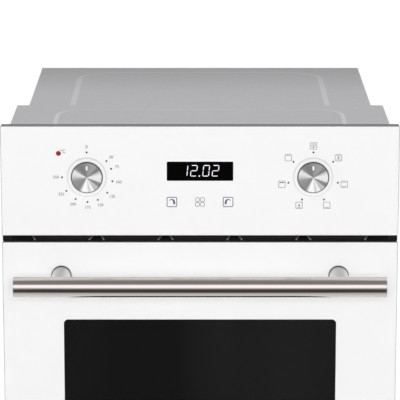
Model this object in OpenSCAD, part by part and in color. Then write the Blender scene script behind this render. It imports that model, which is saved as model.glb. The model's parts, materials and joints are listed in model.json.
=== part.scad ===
// Built-in electric wall oven, 45 cm wide: drop-down door, two push-in knobs, timer and fan.
// Millimetres. +Z is up, -Y is the front, the origin is the bottom centre of the bounding box.
// Inside the modules y runs back from the front glass plane; from_front() moves it into the frame.

/* [Front] */
// Width of the control panel and the door
front_w = 446; // [440:1:460]
// Overall height, from the base to the top of the control panel
front_h = 595; // [590:1:600]
// Height of the control panel
panel_h = 125.5; // [120:0.5:130]
// Height of the air gap between the panel and the door
air_gap = 7.5; // [6:0.5:9]
// Height of the door's lower edge above the base
door_bottom = 20; // [19:1:22]
// Thickness of the outer glass
glass_t = 4; // [3:0.5:4]

/* [Window and handle] */
// Width of the door window
window_w = 309; // [280:1:320]
// Height of the top edge of the window above the base
window_top = 371.7; // [360:0.1:380]
// Height of the lower edge of the window above the base
window_bottom = 98; // [90:1:110]
// Diameter of the handle bar
bar_d = 23; // [20:1:25]
// Length of the handle bar
bar_len = 415; // [390:1:430]
// Distance from the door glass to the middle of the handle bar
bar_offset = 52; // [45:1:55]
// Height of the handle bar above the base
bar_z = 423.2; // [418:0.1:428]

/* [Controls] */
// Distance of each knob from the middle of the panel
knob_x = 126.8; // [120:0.1:132]
// Height of the knobs above the base
knob_z = 536.7; // [534:0.1:540]
// Diameter of a knob
knob_d = 34.8; // [33:0.1:35.4]
// How far a knob springs out
knob_travel = 18; // [14:1:18]

/* [Body] */
// Width of the casing
body_w = 417; // [412:1:420]
// Height of the rear casing
body_h = 567.5; // [565:0.5:569]
// Depth of the casing behind the front glass plane
body_depth = 540; // [535:1:545]
// Width of the cover over the controls
cover_w = 427.6; // [424:0.1:430]
// Thickness of the casing sheet
sheet = 0.8; // [0.6:0.1:1]

/* [Cavity] */
// Inner width of the cavity
cav_w = 330; // [328:1:332]
// Inner height of the cavity
cav_h = 315; // [312:1:316]
// Height of the cavity floor above the base
cav_z = 80; // [79:1:81]

/* [Hidden] */
$fn = 48;

// Front stack, all measured back from the front glass plane
door_top = front_h - panel_h - air_gap;
door_h = door_top - door_bottom;
panel_z = front_h - panel_h / 2;
carrier_back = 14.6;
inner_glass_front = 34;
inner_glass_back = 38;
seal_front = 38.4;
frame_front = 45;
frame_t = 1.2;
frame_back = frame_front + frame_t;
handle_reach = bar_offset + bar_d / 2;
front_y = -(body_depth - handle_reach) / 2;

// Cavity
liner_t = 1.2;
cav_r = 14;
cav_back = 444;
cav_mid = cav_z + cav_h / 2;
cav_top = cav_z + cav_h;

// Casing
half_w = body_w / 2;
cover_top = 591.5;
cover_back = 145;
rear_y = 536.5;
rear_t = 1;
top_tab_y = [190, 350, 524];
rear_screw_x = 201;
rear_screw_z = [14, 200, 380, 548];
emboss = 0.7;

// Door hinge
hinge_y = 27;
hinge_z = 35;
hinge_x = 186;
hinge_pin_r = 3;
run_gap = 0.05;
rod_y_pos = 15;
spring_foot = 102;
spring_top = 172;

middle_glass_z = 254;

// Handle
post_x = 156.5;
post_r = 10.5;
washer_t = 0.8;

// Knobs, display and lamp
knob_r = knob_d / 2;
knob_face_y = -3;
sleeve_r = 18;
sleeve_wall = 1.2;
sleeve_hole_r = 19.7;
spindle_r = 3;
display_w = 74.3;
display_h = 21.8;
display_z = 543.6;
touch_x = 31.5;
touch_z = 508.3;
pilot_x = -158.3;
pilot_z = 564;
pilot_r = 2.7;
bracket_y = 36;

// Racks, shelf and tray
rack_x = 158.8;
rail_x = 155.4;
wire_r = 2;
rail_front = 70;
rail_back = 414;
rail_levels = [125, 185, 245, 305];
rail_pair = 14;
shelf_level = rail_levels[2];
tray_level = rail_levels[1];
shelf_wire_r = 3;
shelf_front = 75;
shelf_back = 406;
rest_gap = 0.3;

// Fans and heaters
fan_z = 225;
heater_r = 3.25;
grill_z = 378;
bottom_heater_z = 72;
blower_y = 440;
blower_z = 490;
blower_r = 38;
blower_len = 200;
blower_shaft_r = 3;
duct_z0 = 452;
duct_z1 = 469;

// Terminal box
terminal_x = 150;
terminal_z = 470;

// ---------- helpers ----------

module from_front() {
    translate([0, front_y, 0]) children();
}

// A 2D rectangle with round corners, centred
module rrect(w, h, r) {
    square([w - 2 * r, h], center = true);
    square([w, h - 2 * r], center = true);
    for (x = [-1, 1], z = [-1, 1]) {
        translate([x * (w / 2 - r), z * (h / 2 - r)]) circle(r);
    }
}

// Extrudes a front-view outline (x, z) back from y0
module slab_y(y0, depth) {
    translate([0, y0 + depth, 0]) rotate([90, 0, 0]) linear_extrude(depth) children();
}

// Extrudes a side-view outline (y, z) to the right from x0
module slab_x(x0, width) {
    translate([x0, 0, 0]) rotate([90, 0, 90]) linear_extrude(width) children();
}

// A box from one corner to the other
module box(lo, hi) {
    translate(lo) cube(hi - lo);
}

// A round bar along y, from y0 back to y1
module rod_y(x, z, r, y0, y1) {
    translate([x, y1, z]) rotate([90, 0, 0]) cylinder(h = y1 - y0, r = r);
}

// A round bar along x
module rod_x(y, z, r, x0, x1) {
    translate([x0, y, z]) rotate([0, 90, 0]) cylinder(h = x1 - x0, r = r);
}

// A round bar between any two points
module rod(p, q, r) {
    d = q - p;
    flat = norm([d[0], d[1]]);
    translate(p) rotate([0, atan2(flat, d[2]), atan2(d[1], d[0])]) cylinder(h = norm(d), r = r);
}

// A bent tube through points, with a ball a little fatter than the tube at each bend
module bent_tube(points, r) {
    for (i = [0 : len(points) - 2]) rod(points[i], points[i + 1], r);
    for (i = [1 : len(points) - 2]) translate(points[i]) sphere(r * 1.04);
}

// Turns a profile, drawn as (radius, distance back), about an axis along y at (x, z)
module turned(x, z) {
    translate([x, 0, z]) rotate([-90, 0, 0]) rotate_extrude() children();
}

// A quarter or half bend of tube, lying flat; start and sweep are angles in plan
module bend(x, y, z, radius, r, start, sweep) {
    translate([x, y, z]) rotate([0, 0, start]) rotate_extrude(angle = sweep) translate([radius, 0]) circle(r);
}

// A pan-head screw pointing along +z, its head's underside at z = 0
module screw(shank_r, shank_l, head_r, head_h) {
    cylinder(h = shank_l, r = shank_r);
    translate([0, 0, -head_h]) cylinder(h = head_h, r1 = head_r * 0.72, r2 = head_r);
}

// A raised field with sloping sides, w by d at its foot
module raised_field(w, d, r, height, slope) {
    hull() {
        linear_extrude(0.01) rrect(w, d, r, $fn = 48);
        translate([0, 0, height - 0.01]) linear_extrude(0.01)
            rrect(w - 2 * slope, d - 2 * slope, r - slope, $fn = 48);
    }
}

// Points of a helix ring by ring, for a coil spring along +z
function coil_rings(coil_r, wire, length, turns, steps, sides) = [
    for (i = [0 : turns * steps])
        let (a = 360 * i / steps, h = wire + (length - 2 * wire) * i / (turns * steps))
        for (k = [0 : sides - 1])
            let (b = 360 * k / sides, q = coil_r + wire * cos(b))
            [q * cos(a), q * sin(a), h + wire * sin(b)]
];
function coil_faces(rings, sides) = concat(
    [[for (k = [0 : sides - 1]) k]],
    [for (i = [0 : rings - 2], k = [0 : sides - 1])
        let (n = (k + 1) % sides)
        [i * sides + k, (i + 1) * sides + k, (i + 1) * sides + n, i * sides + n]],
    [[for (k = [sides - 1 : -1 : 0]) (rings - 1) * sides + k]]
);
module coil_spring(coil_r, wire, length, turns) {
    steps = 16;
    sides = 6;
    polyhedron(coil_rings(coil_r, wire, length, turns, steps, sides), coil_faces(turns * steps + 1, sides));
}

// ---------- control panel ----------

// Openings that the glass and its carrier share, as a front view
module panel_openings(extra) {
    for (s = [-1, 1]) translate([s * knob_x, knob_z]) circle(sleeve_hole_r + extra);
    translate([pilot_x, pilot_z]) circle(pilot_r + 0.1 + extra);
    gap = 0.2 + 2 * extra;
    translate([0, display_z]) square([display_w + gap, display_h + gap], center = true);
}

module panel_glass() {
    color([0.97, 0.97, 0.97]) slab_y(0, glass_t) difference() {
        translate([0, panel_z]) rrect(front_w, panel_h, 1);
        panel_openings(0);
    }
}

// A shallow steel tray behind the glass; its dark upper rim shows above the glass
module panel_carrier() {
    wall = 1.2;
    color([0.2, 0.2, 0.21]) {
        slab_y(glass_t, 1) difference() {
            translate([0, panel_z]) square([front_w - 1, panel_h - 1], center = true);
            panel_openings(0.1);
            for (i = [-1, 0, 1]) translate([i * touch_x, touch_z]) circle(6.2);
        }
        slab_y(glass_t + 1, carrier_back - glass_t - 1) translate([0, panel_z]) difference() {
            square([front_w - 1, panel_h - 1], center = true);
            square([front_w - 1 - 2 * wall, panel_h - 1 - 2 * wall], center = true);
        }
    }
}

module display_lens() {
    color([0.03, 0.03, 0.03]) slab_y(0, glass_t) translate([0, display_z]) rrect(display_w, display_h, 1);
}

// Display block, circuit board, housing and touch pads of the timer
module timer_module() {
    color([0.1, 0.25, 0.15]) {
        box([-27, 5.2, display_z - 9.5], [27, 12, display_z + 9.5]);
        box([-46, 12, touch_z - 11], [46, 13.6, display_z + 15]);
        box([-40, 13.6, touch_z - 5], [40, 30, display_z + 12]);
        box([-30, 30, touch_z + 2], [-6, 35, touch_z + 18]);
    }
    color([0.75, 0.6, 0.25]) for (i = [-1, 0, 1]) rod_y(i * touch_x, touch_z, 5.6, glass_t, 12.1);
}

// White ring on the glass with the sleeve that the knob slides in
module bezel(x) {
    ring_r = 22.5;
    sleeve_end = 26;
    turned(x, knob_z) {
        polygon([[sleeve_r, -0.9], [sleeve_r + 0.6, -1.5], [ring_r - 2.2, -1.5], [ring_r, -0.2],
                 [ring_r, 0], [sleeve_r, 0]]);
        translate([sleeve_r, -0.1]) square([sleeve_wall, sleeve_end + 0.1]);
        translate([9.5, sleeve_end - 1.5]) square([sleeve_r - 9.5 + 0.1, 1.5]);
    }
}

module knob_bezels() {
    color([0.95, 0.95, 0.95]) for (s = [-1, 1]) bezel(s * knob_x);
}

// Return springs round the hubs, between each knob and its sleeve's rear flange
module knob_springs() {
    color([0.7, 0.7, 0.72]) for (s = [-1, 1]) {
        translate([s * knob_x, 0.6, knob_z]) rotate([-90, 0, 0]) coil_spring(11.5, 0.5, 23.6, 6);
    }
}

module pilot_lamp() {
    color([0.75, 0.03, 0.03]) turned(pilot_x, pilot_z) {
        polygon([[0, -1.1], [1.4, -0.8], [pilot_r, 0], [pilot_r, 5.4], [4.2, 5.4], [4.2, 24], [0, 24]]);
    }
}

// Steel strap that carries both switches, held to the carrier at its ends
module switch_bracket() {
    strap_w = 352;
    color([0.72, 0.73, 0.74]) difference() {
        union() {
            slab_y(bracket_y, 1.2) translate([0, knob_z]) square([strap_w, 56], center = true);
            for (s = [-1, 1]) {
                slab_y(glass_t + 1, bracket_y + 0.2 - glass_t) translate([s * strap_w / 2, knob_z])
                    square([1.2, 56], center = true);
            }
        }
        for (s = [-1, 1]) rod_y(s * knob_x, knob_z, 5, bracket_y - 1, bracket_y + 3);
        for (s = [-1, 1], t = [-1, 1]) rod_y(s * knob_x + t * 14, knob_z, 1.7, bracket_y - 1, bracket_y + 3);
        box([-48, bracket_y - 1, knob_z - 29], [48, bracket_y + 2, knob_z + 12]);
    }
}

// Case, spindle bush and tab terminals of a rotary switch
module switch_case(x, w, h, depth) {
    back = bracket_y + 1.2 + depth;
    difference() {
        union() {
            slab_y(bracket_y + 1.2, depth) translate([x, knob_z]) rrect(w, h, 3);
            rod_y(x, knob_z, 4.8, bracket_y - 2, bracket_y + 2);
            for (i = [-1, 0, 1], j = [-1, 1]) {
                slab_y(back - 0.1, 8.1) translate([x + i * 11, knob_z + j * 9])
                    square([6, 0.8], center = true);
            }
        }
        rod_y(x, knob_z, spindle_r + run_gap, bracket_y - 3, 52);
        for (t = [-1, 1]) rod_y(x + t * 14, knob_z, 1.5, bracket_y, bracket_y + 8);
    }
}

module thermostat() {
    color([0.8, 0.78, 0.7]) switch_case(-knob_x, 40, 34, 26);
}

module selector_switch() {
    color([0.15, 0.15, 0.16]) switch_case(knob_x, 46, 46, 32);
}

// Liquid-filled bulb under the cavity roof, and its thin tube up to the thermostat
module thermostat_sensor() {
    x = 104;
    z = 388;
    case_back = bracket_y + 1.2 + 26;
    color([0.75, 0.5, 0.3]) {
        rod_y(x, z, 2.2, 330, 430);
        bent_tube([[x, 429, z], [x, 486, z], [x + 66, 494, z + 30], [x + 66, 494, 540], [x + 56, 400, 552],
                    [x + 40, 120, 552], [-60, 96, 552], [-knob_x + 30, 84, knob_z + 4],
                    [-knob_x + 6, case_back + 0.6, knob_z]], 0.9);
    }
}

// ---------- casing ----------

// Galvanised cover over the control compartment, with a raised field on top
module control_cover() {
    half = cover_w / 2;
    field_back = 118;
    field_front = -20;
    slope = 5;
    color([0.69, 0.69, 0.7]) difference() {
        union() {
            box([-half, carrier_back, cover_top - sheet], [half, cover_back, cover_top]);
            for (s = [-1, 1]) {
                box([s * (half - sheet / 2) - sheet / 2, carrier_back, duct_z1 + 1.5],
                    [s * (half - sheet / 2) + sheet / 2, cover_back, cover_top]);
            }
            box([-half, cover_back - sheet, body_h], [half, cover_back, cover_top]);
            translate([0, (field_front + field_back) / 2, cover_top])
                raised_field(332, field_back - field_front, 34, emboss, slope);
        }
        translate([0, (field_front + field_back) / 2, cover_top - sheet - 0.01])
            raised_field(332 - 1.2, field_back - field_front - 1.2, 33.4, emboss, slope);
        // the field runs out at the front edge
        box([-180, field_front - 1, cover_top - 2], [180, carrier_back, cover_top + 2]);
        // cable and air slots in the side walls
        for (s = [-1, 1], i = [0 : 3]) {
            box([s * half - 2, 60 + i * 18, 560], [s * half + 2, 70 + i * 18, 564]);
        }
    }
}

// Galvanised rear top, lower than the control cover
module top_cover() {
    field_front = 170;
    field_back = 506;
    slope = 6.5;
    color([0.66, 0.66, 0.67]) difference() {
        union() {
            box([-half_w, 100, body_h - sheet], [half_w, body_depth, body_h]);
            translate([0, (field_front + field_back) / 2, body_h])
                raised_field(317, field_back - field_front, 48, emboss, slope);
        }
        translate([0, (field_front + field_back) / 2, body_h - sheet - 0.01])
            raised_field(317 - 1.2, field_back - field_front - 1.2, 47.4, emboss, slope);
    }
}

function rear_screw_points() = [for (s = [-1, 1], z = rear_screw_z) [s * rear_screw_x, z]];

// The side panel's stiffening ribs, as seen from the side
module rib_outlines(inset) {
    for (z = [110, 380]) translate([290, z]) rrect(380 - 2 * inset, 34 - 2 * inset, 16.5 - inset);
}

// Side wall with louvres, two pressed-out ribs, tabs under the top and a flange for the rear screws
module side_panel(s) {
    rib = 1.6;
    inner = half_w - sheet;
    color([0.68, 0.68, 0.69]) mirror([s < 0 ? 1 : 0, 0, 0]) difference() {
        union() {
            slab_x(inner, sheet) difference() {
                translate([frame_back, 1]) square([body_depth - frame_back, body_h - sheet - 1]);
                for (i = [0 : 7]) translate([430 + i * 10, 470]) square([4.5, 52]);
                for (i = [0 : 9]) translate([120 + i * 14, 22]) square([8, 4]);
            }
            box([inner - 12, rear_y - sheet, 1], [inner + 0.1, rear_y, body_h - 12]);
            for (y = top_tab_y) translate([inner - 17, y - 10, body_h - 2 * sheet]) cube([17.1, 20, sheet]);
            slab_x(half_w - 0.1, rib + 0.1) rib_outlines(0);
        }
        slab_x(inner - 0.1, rib + 0.1) rib_outlines(sheet);
        for (z = rear_screw_z) rod_y(rear_screw_x, z, 1.6, rear_y - 3, rear_y + 2);
    }
}

// Floor of the casing with air slots and upturned edges
module base_plate() {
    edge = half_w - sheet;
    color([0.62, 0.62, 0.63]) difference() {
        union() {
            box([-half_w, frame_back, 0], [half_w, body_depth, 1]);
            for (s = [-1, 1]) slab_x(s * (edge - 0.4) - 0.4, 0.8)
                translate([frame_back + 4, 1]) square([449.8, 11]);
        }
        for (i = [0 : 8], j = [0 : 2]) translate([-120 + i * 30, 150 + j * 110, -1])
            linear_extrude(3) rrect(8, 60, 3.9);
    }
}

// Rear wall: motor grille, blower intake slots and the terminal box opening
module rear_panel() {
    color([0.66, 0.66, 0.67]) slab_y(rear_y, rear_t) difference() {
        translate([-half_w + sheet, 1]) square([body_w - 2 * sheet, body_h - 1 - sheet]);
        for (a = [0 : 30 : 330]) translate([0, fan_z]) rotate(a) translate([42, 0]) rrect(36, 7, 3.4);
        for (i = [0 : 11]) translate([-88 + i * 14, 500]) rrect(7, 50, 3.4);
        for (i = [0 : 9]) translate([-81 + i * 18, 60]) rrect(8, 36, 3.9);
        translate([terminal_x, terminal_z]) square([84.4, 104.4], center = true);
        for (p = rear_screw_points()) translate(p) circle(1.6);
    }
}

// Face plate round the cavity mouth; its side wings take the screws into the cabinet
module front_frame() {
    wing = 221.5;
    color([0.12, 0.12, 0.13]) difference() {
        union() {
            slab_y(frame_front, frame_t) difference() {
                translate([-wing, 3]) square([2 * wing, 457]);
                translate([0, cav_mid]) rrect(cav_w, cav_h, cav_r);
                for (s = [-1, 1]) translate([s * hinge_x, hinge_z]) square([12, 27], center = true);
                for (s = [-1, 1], z = [110, 400]) translate([s * 217.2, z]) circle(2.3);
                for (i = [0 : 9]) translate([-135 + i * 30, 12]) rrect(18, 5, 2.4);
            }
            // top lip that the air outlet stands on
            box([-205, frame_back - 0.01, 458.8], [205, frame_back + 10, 460]);
        }
    }
}

// Fixing screws of the rear wall
module casing_screws() {
    color([0.8, 0.8, 0.82]) {
        for (p = rear_screw_points()) translate([p[0], rear_y + rear_t, p[1]]) rotate([90, 0, 0])
            screw(1.5, 8, 3.4, 2);
    }
}

// ---------- cavity ----------

// Enamelled box, open at the front
module cavity_liner() {
    color([0.13, 0.13, 0.15]) {
        slab_y(frame_back, cav_back - frame_back) translate([0, cav_mid]) difference() {
            rrect(cav_w + 2 * liner_t, cav_h + 2 * liner_t, cav_r + liner_t);
            rrect(cav_w, cav_h, cav_r);
        }
        slab_y(frame_back, 1) translate([0, cav_mid]) difference() {
            rrect(cav_w + 24, cav_h + 24, cav_r + 12);
            rrect(cav_w + 2, cav_h + 2, cav_r + 1);
        }
        slab_y(cav_back, liner_t) difference() {
            translate([0, cav_mid]) rrect(cav_w + 2 * liner_t, cav_h + 2 * liner_t, cav_r + liner_t);
            translate([0, fan_z]) circle(7);
            for (p = grill_leg_points()) translate([p, grill_z]) circle(heater_r + 0.3);
            translate([104, 388]) circle(1.4);
            translate([-143, 345]) circle(15.3);
        }
    }
}

// Mineral-fibre blanket round the cavity, with room under it for the bottom heater
module insulation() {
    pad_back = 470;
    color([0.82, 0.78, 0.6]) {
        slab_y(frame_back + 2, 446 - frame_back - 2) difference() {
            translate([0, 237]) rrect(380, 374, 24);
            translate([0, cav_mid]) rrect(cav_w + 3.6, cav_h + 3.6, cav_r + 1.8);
            translate([0, cav_z]) square([cav_w - 20, 26], center = true);
        }
        slab_y(446, pad_back - 446) difference() {
            translate([0, 237]) rrect(380, 374, 24);
            translate([0, fan_z]) circle(42);
            for (p = grill_leg_points()) translate([p, grill_z]) circle(5);
            for (s = [-1, 1]) translate([s * 60, bottom_heater_z]) square([14, 14], center = true);
            translate([104, 388]) circle(3);
            translate([-143, 345]) circle(19);
        }
    }
}

// Heat-proof gasket round the cavity mouth
module door_seal() {
    color([0.1, 0.1, 0.1]) slab_y(seal_front, frame_front - seal_front) translate([0, cav_mid]) difference() {
        rrect(cav_w + 22, cav_h + 22, cav_r + 11);
        rrect(cav_w + 6, cav_h + 6, cav_r + 3);
    }
}

function grill_leg_points() = [-130, -78, 78, 130];

// Outer top heater and inner grill on one flange, terminals at the rear
module grill_element() {
    front = 85;
    corner = 36;
    back_turn = 392;
    front_turn = 140;
    leg_end = 482;
    color([0.22, 0.21, 0.21]) {
        for (s = [-1, 1]) {
            rod_y(s * 130, grill_z, heater_r, front + corner, leg_end);
            rod_y(s * 78, grill_z, heater_r, front_turn, leg_end);
            rod_y(s * 26, grill_z, heater_r, front_turn, back_turn);
            bend(s * 52, front_turn, grill_z, 26, heater_r, 180, 180);
        }
        bend(0, back_turn, grill_z, 26, heater_r, 0, 180);
        bend(130 - corner, front + corner, grill_z, corner, heater_r, 270, 90);
        bend(-130 + corner, front + corner, grill_z, corner, heater_r, 180, 90);
        rod_x(front, grill_z, heater_r, -130 + corner, 130 - corner);
        box([-140, cav_back - 1.2, grill_z - 8], [-68, cav_back, grill_z + 8]);
        box([68, cav_back - 1.2, grill_z - 8], [140, cav_back, grill_z + 8]);
    }
}

// Loop under the cavity floor
module bottom_element() {
    z = bottom_heater_z;
    front = 110;
    corner = 40;
    half = 120;
    leg_x = 60;
    turn = 26;
    back = 410;
    jog = half - leg_x - 2 * turn;
    color([0.22, 0.21, 0.21]) {
        for (s = [-1, 1]) {
            rod_y(s * half, z, heater_r, front + corner, back - turn);
            bend(s * (half - turn), back - turn, z, turn, heater_r, s > 0 ? 0 : 90, 90);
            translate([s > 0 ? 0 : -2 * (leg_x + turn) - jog, 0, 0])
                rod_x(back, z, heater_r, leg_x + turn, leg_x + turn + jog);
            bend(s * (leg_x + turn), back + turn, z, turn, heater_r, s > 0 ? 180 : 270, 90);
            rod_y(s * leg_x, z, heater_r, back + turn, 482);
        }
        bend(half - corner, front + corner, z, corner, heater_r, 270, 90);
        bend(-half + corner, front + corner, z, corner, heater_r, 180, 90);
        rod_x(front, z, heater_r, -half + corner, half - corner);
    }
}

// Pressed plate in front of the fan: round intake grille and side outlets
module fan_baffle() {
    plate_y = 416;
    color([0.14, 0.14, 0.16]) {
        slab_y(plate_y, 1) difference() {
            translate([0, fan_z]) rrect(240, 230, 22);
            for (ring = [1 : 4]) for (a = [0 : 360 / (6 + 4 * ring) : 359])
                translate([0, fan_z]) rotate(a) translate([10 + ring * 11, 0]) rrect(8, 4.6, 2.2);
            for (s = [-1, 1], i = [0 : 6]) translate([s * 96, fan_z - 72 + i * 24]) rrect(30, 7, 3.4);
        }
        slab_y(plate_y + 1, cav_back - plate_y - 1) translate([0, fan_z]) difference() {
            rrect(240, 230, 22);
            rrect(238, 228, 21);
            for (s = [-1, 1], i = [0 : 5]) translate([s * 120, -60 + i * 24]) square([6, 14], center = true);
        }
    }
}

// Impeller with bent-up blades on its shaft
module convection_fan() {
    color([0.7, 0.7, 0.72]) {
        turned(0, fan_z) {
            polygon([[0, 422], [6, 422], [6, 436], [70, 436], [70, 437], [6, 437], [6, 440], [0, 440]]);
            translate([0, 422]) square([3.5, 80]);
        }
        for (a = [0 : 30 : 330]) {
            translate([0, 0, fan_z]) rotate([0, a, 0]) translate([54, 422.5, 0]) rotate([0, 25, 0])
                translate([-14, 0, -0.5]) cube([28, 13.6, 1]);
        }
        turned(0, fan_z) polygon([[0, 506], [26, 506], [26, 507], [3, 507], [3, 508], [0, 508]]);
        turned(0, fan_z) translate([0, 500]) square([3.5, 7]);
    }
}

// Shaded-pole motor behind the cavity with its three-armed bracket
module convection_motor() {
    color([0.55, 0.56, 0.58]) difference() {
        union() {
            slab_y(472, 1.5) for (a = [90 : 120 : 330]) translate([0, fan_z]) rotate(a)
                translate([34, 0]) square([76, 16], center = true);
            slab_y(472, 1.5) translate([0, fan_z]) circle(24);
            slab_y(473.5, 24) translate([0, fan_z - 6]) rrect(62, 70, 4);
            rod_y(-6, fan_z - 30, 15, 497, 503);
        }
        rod_y(0, fan_z, 3.6, 470, 500);
    }
}

// Ceramic lamp socket behind the rear wall
module lamp_holder() {
    color([0.9, 0.88, 0.82]) turned(-143, 345)
        polygon([[0, 446], [15, 446], [15, 449], [17.8, 449], [17.8, 486], [0, 486]]);
}

// Screw-in glass dome and the bulb in it
module lamp_glass() {
    color([0.9, 0.92, 0.9, 0.5]) {
        turned(-143, 345) polygon([[14, 424], [16.5, 428], [18, 434], [18, 443.9], [15, 443.9], [15, 446],
                                   [13, 446], [13, 434], [11.8, 429], [9, 426.2], [0, 426.2], [0, 424]]);
        turned(-143, 345) polygon([[0, 430], [5, 431], [8, 435], [8, 440], [5, 445.9], [0, 445.9]]);
    }
}

// Chromed side rack: uprights, edge wires and four pairs of rails
module side_rack(s) {
    x = s * rack_x;
    z0 = 105;
    z1 = 338;
    union() {
        for (y = [rail_front + 12, 242, rail_back - 12]) translate([x, y, z0])
            cylinder(h = z1 - z0, r = wire_r);
        for (z = [z0, z1]) rod_y(x, z, wire_r + 0.1, rail_front + 10, rail_back - 10);
        for (level = rail_levels, up = [0, rail_pair]) {
            rod_y(s * rail_x, level + up, wire_r, rail_front, rail_back);
        }
        for (y = [rail_front + 12, rail_back - 12], z = [z0, z1]) {
            rod_x(y, z, 3, min(x, s * cav_w / 2), max(x, s * cav_w / 2));
        }
    }
}

module side_racks() {
    color([0.85, 0.85, 0.87]) for (s = [-1, 1]) side_rack(s);
}

// Shelf of thin rods welded across a thicker rim wire, resting on a pair of rails
module wire_shelf() {
    half = 153.3;
    corner = 14;
    rod_r = 1.6;
    z = shelf_level + 4.54 + rest_gap;
    rods = 11;
    color([0.85, 0.85, 0.87]) {
        for (s = [-1, 1]) {
            rod_y(s * half, z, shelf_wire_r, shelf_front + corner, shelf_back - corner);
            bend(s * (half - corner), shelf_front + corner, z, corner, shelf_wire_r, s > 0 ? 270 : 180, 90);
            bend(s * (half - corner), shelf_back - corner, z, corner, shelf_wire_r, s > 0 ? 0 : 90, 90);
        }
        for (y = [shelf_front, shelf_back]) rod_x(y, z, shelf_wire_r, -half + corner, half - corner);
        for (i = [0 : rods - 1]) rod_y(-125 + i * 25, z + 3.4, rod_r, shelf_front - 1, shelf_back + 1);
        for (y = [165, 316]) rod_x(y, z, 2.4, -half, half);
    }
}

// Enamelled tray hung by its rim on a pair of rails
module baking_tray() {
    rim_w = 311.6;
    pan_w = 301;
    pan_d = 340;
    front = 62;
    wall = 0.8;
    depth = 30;
    rim_z = tray_level + 2 + rest_gap;
    mid = front + (pan_d + 10) / 2;
    color([0.15, 0.15, 0.17]) translate([0, mid, rim_z]) {
        linear_extrude(1) difference() {
            rrect(rim_w, pan_d + 10, 14);
            rrect(pan_w - 2 * wall, pan_d - 2 * wall, 18);
        }
        translate([0, 0, wall - depth]) linear_extrude(depth - wall + 0.1) difference() {
            rrect(pan_w, pan_d, 18 + wall);
            rrect(pan_w - 2 * wall, pan_d - 2 * wall, 18);
        }
        translate([0, 0, -depth]) linear_extrude(wall + 0.01) rrect(pan_w, pan_d, 18 + wall);
    }
}

// ---------- cooling ----------

// Scroll case of the cross-flow blower, open at its upper rear and towards the duct
module blower_housing() {
    half = blower_len / 2;
    color([0.6, 0.6, 0.62]) {
        slab_x(-half, blower_len) {
            translate([blower_y, blower_z]) difference() {
                circle(blower_r);
                circle(blower_r - 1);
                translate([5, -5]) square([60, 60]);
                translate([-60, -60]) square([60, 60]);
            }
            translate([400, duct_z0]) square([40, 1]);
            translate([400, duct_z1 - 1]) square([12.5, 1]);
            translate([blower_y - blower_r, duct_z1 - 1]) square([1, 23]);
        }
        for (s = [-1, 1]) slab_x(s * half - 0.6, 1.2) difference() {
            union() {
                translate([blower_y, blower_z]) circle(blower_r);
                translate([400, duct_z0]) square([40, duct_z1 - duct_z0]);
            }
            translate([blower_y, blower_z]) circle(blower_shaft_r + run_gap);
        }
    }
}

// Drum of thin blades between end discs
module blower_impeller() {
    drum_r = 28;
    half = blower_len / 2 - 6;
    color([0.72, 0.72, 0.74]) {
        for (x = [-half, -0.5, half - 1]) rod_x(blower_y, blower_z, drum_r, x, x + 1);
        for (a = [0 : 15 : 345]) translate([0, blower_y, blower_z]) rotate([a, 0, 0])
            translate([-half, 21, -0.3]) rotate([28, 0, 0]) cube([2 * half, 6.2, 0.6]);
        rod_x(blower_y, blower_z, blower_shaft_r, -half - 14, half + 26);
    }
}

module blower_motor() {
    x0 = blower_len / 2 + 4;
    color([0.5, 0.51, 0.53]) difference() {
        union() {
            rod_x(blower_y, blower_z, 26, x0, x0 + 22);
            box([x0 + 3, blower_y - 30, blower_z - 40], [x0 + 19, blower_y + 12, blower_z - 20]);
            slab_x(x0 - 1.5, 1.5) translate([blower_y, blower_z]) rrect(64, 60, 6);
        }
        rod_x(blower_y, blower_z, blower_shaft_r + run_gap, x0 - 3, x0 + 18);
    }
}

// Flat duct over the insulation, from the blower to the front outlet
module air_duct() {
    wide = 150;
    high = duct_z1 - duct_z0;
    color([0.7, 0.7, 0.71]) slab_y(frame_back + 11, 399.5 - frame_back - 11) difference() {
        translate([-wide, duct_z0]) square([2 * wide, high]);
        translate([-wide + sheet, duct_z0 + sheet]) square([2 * (wide - sheet), high - 2 * sheet]);
    }
}

// Black louvre at the back of the gap over the door, with end blocks that come forward beside the gap
module air_outlet() {
    end = 222.5;
    block_w = 11;
    block_z = door_top + 0.6;
    color([0.07, 0.07, 0.07]) {
        slab_y(40, 14) difference() {
            translate([-203, 460]) square([406, 9]);
            for (i = [-5 : 5]) translate([i * 36, 464.5]) rrect(31, 6, 1.5);
        }
        for (s = [-1, 1]) {
            box([s * (end - block_w / 2) - block_w / 2, glass_t + 0.2, block_z],
                [s * (end - block_w / 2) + block_w / 2, 44.8, 470]);
            box([s * 212 - 10.5, 40, block_z], [s * 212 + 10.5, 44.8, 469]);
        }
    }
}

// ---------- wiring ----------

// Box sunk into the rear wall, open to the back
module terminal_box() {
    depth = 34;
    front = rear_y + rear_t - depth;
    color([0.2, 0.2, 0.2]) difference() {
        slab_y(front, depth) translate([terminal_x, terminal_z]) square([84, 104], center = true);
        slab_y(front + 2, depth) translate([terminal_x, terminal_z]) square([80, 100], center = true);
        rod_y(terminal_x - 25, terminal_z + 40, 5, front - 3, front + 7);
    }
}

// Lid with the cable's entry in a boss
module terminal_cover() {
    color([0.16, 0.16, 0.16]) difference() {
        union() {
            slab_y(rear_y + rear_t, 2) translate([terminal_x, terminal_z]) rrect(92, 112, 5);
            rod_y(terminal_x, terminal_z - 34, 9, rear_y + rear_t - 8, rear_y + rear_t + 0.1);
        }
        rod_y(terminal_x, terminal_z - 34, 5.25, rear_y - 10, rear_y + 5);
    }
}

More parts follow.
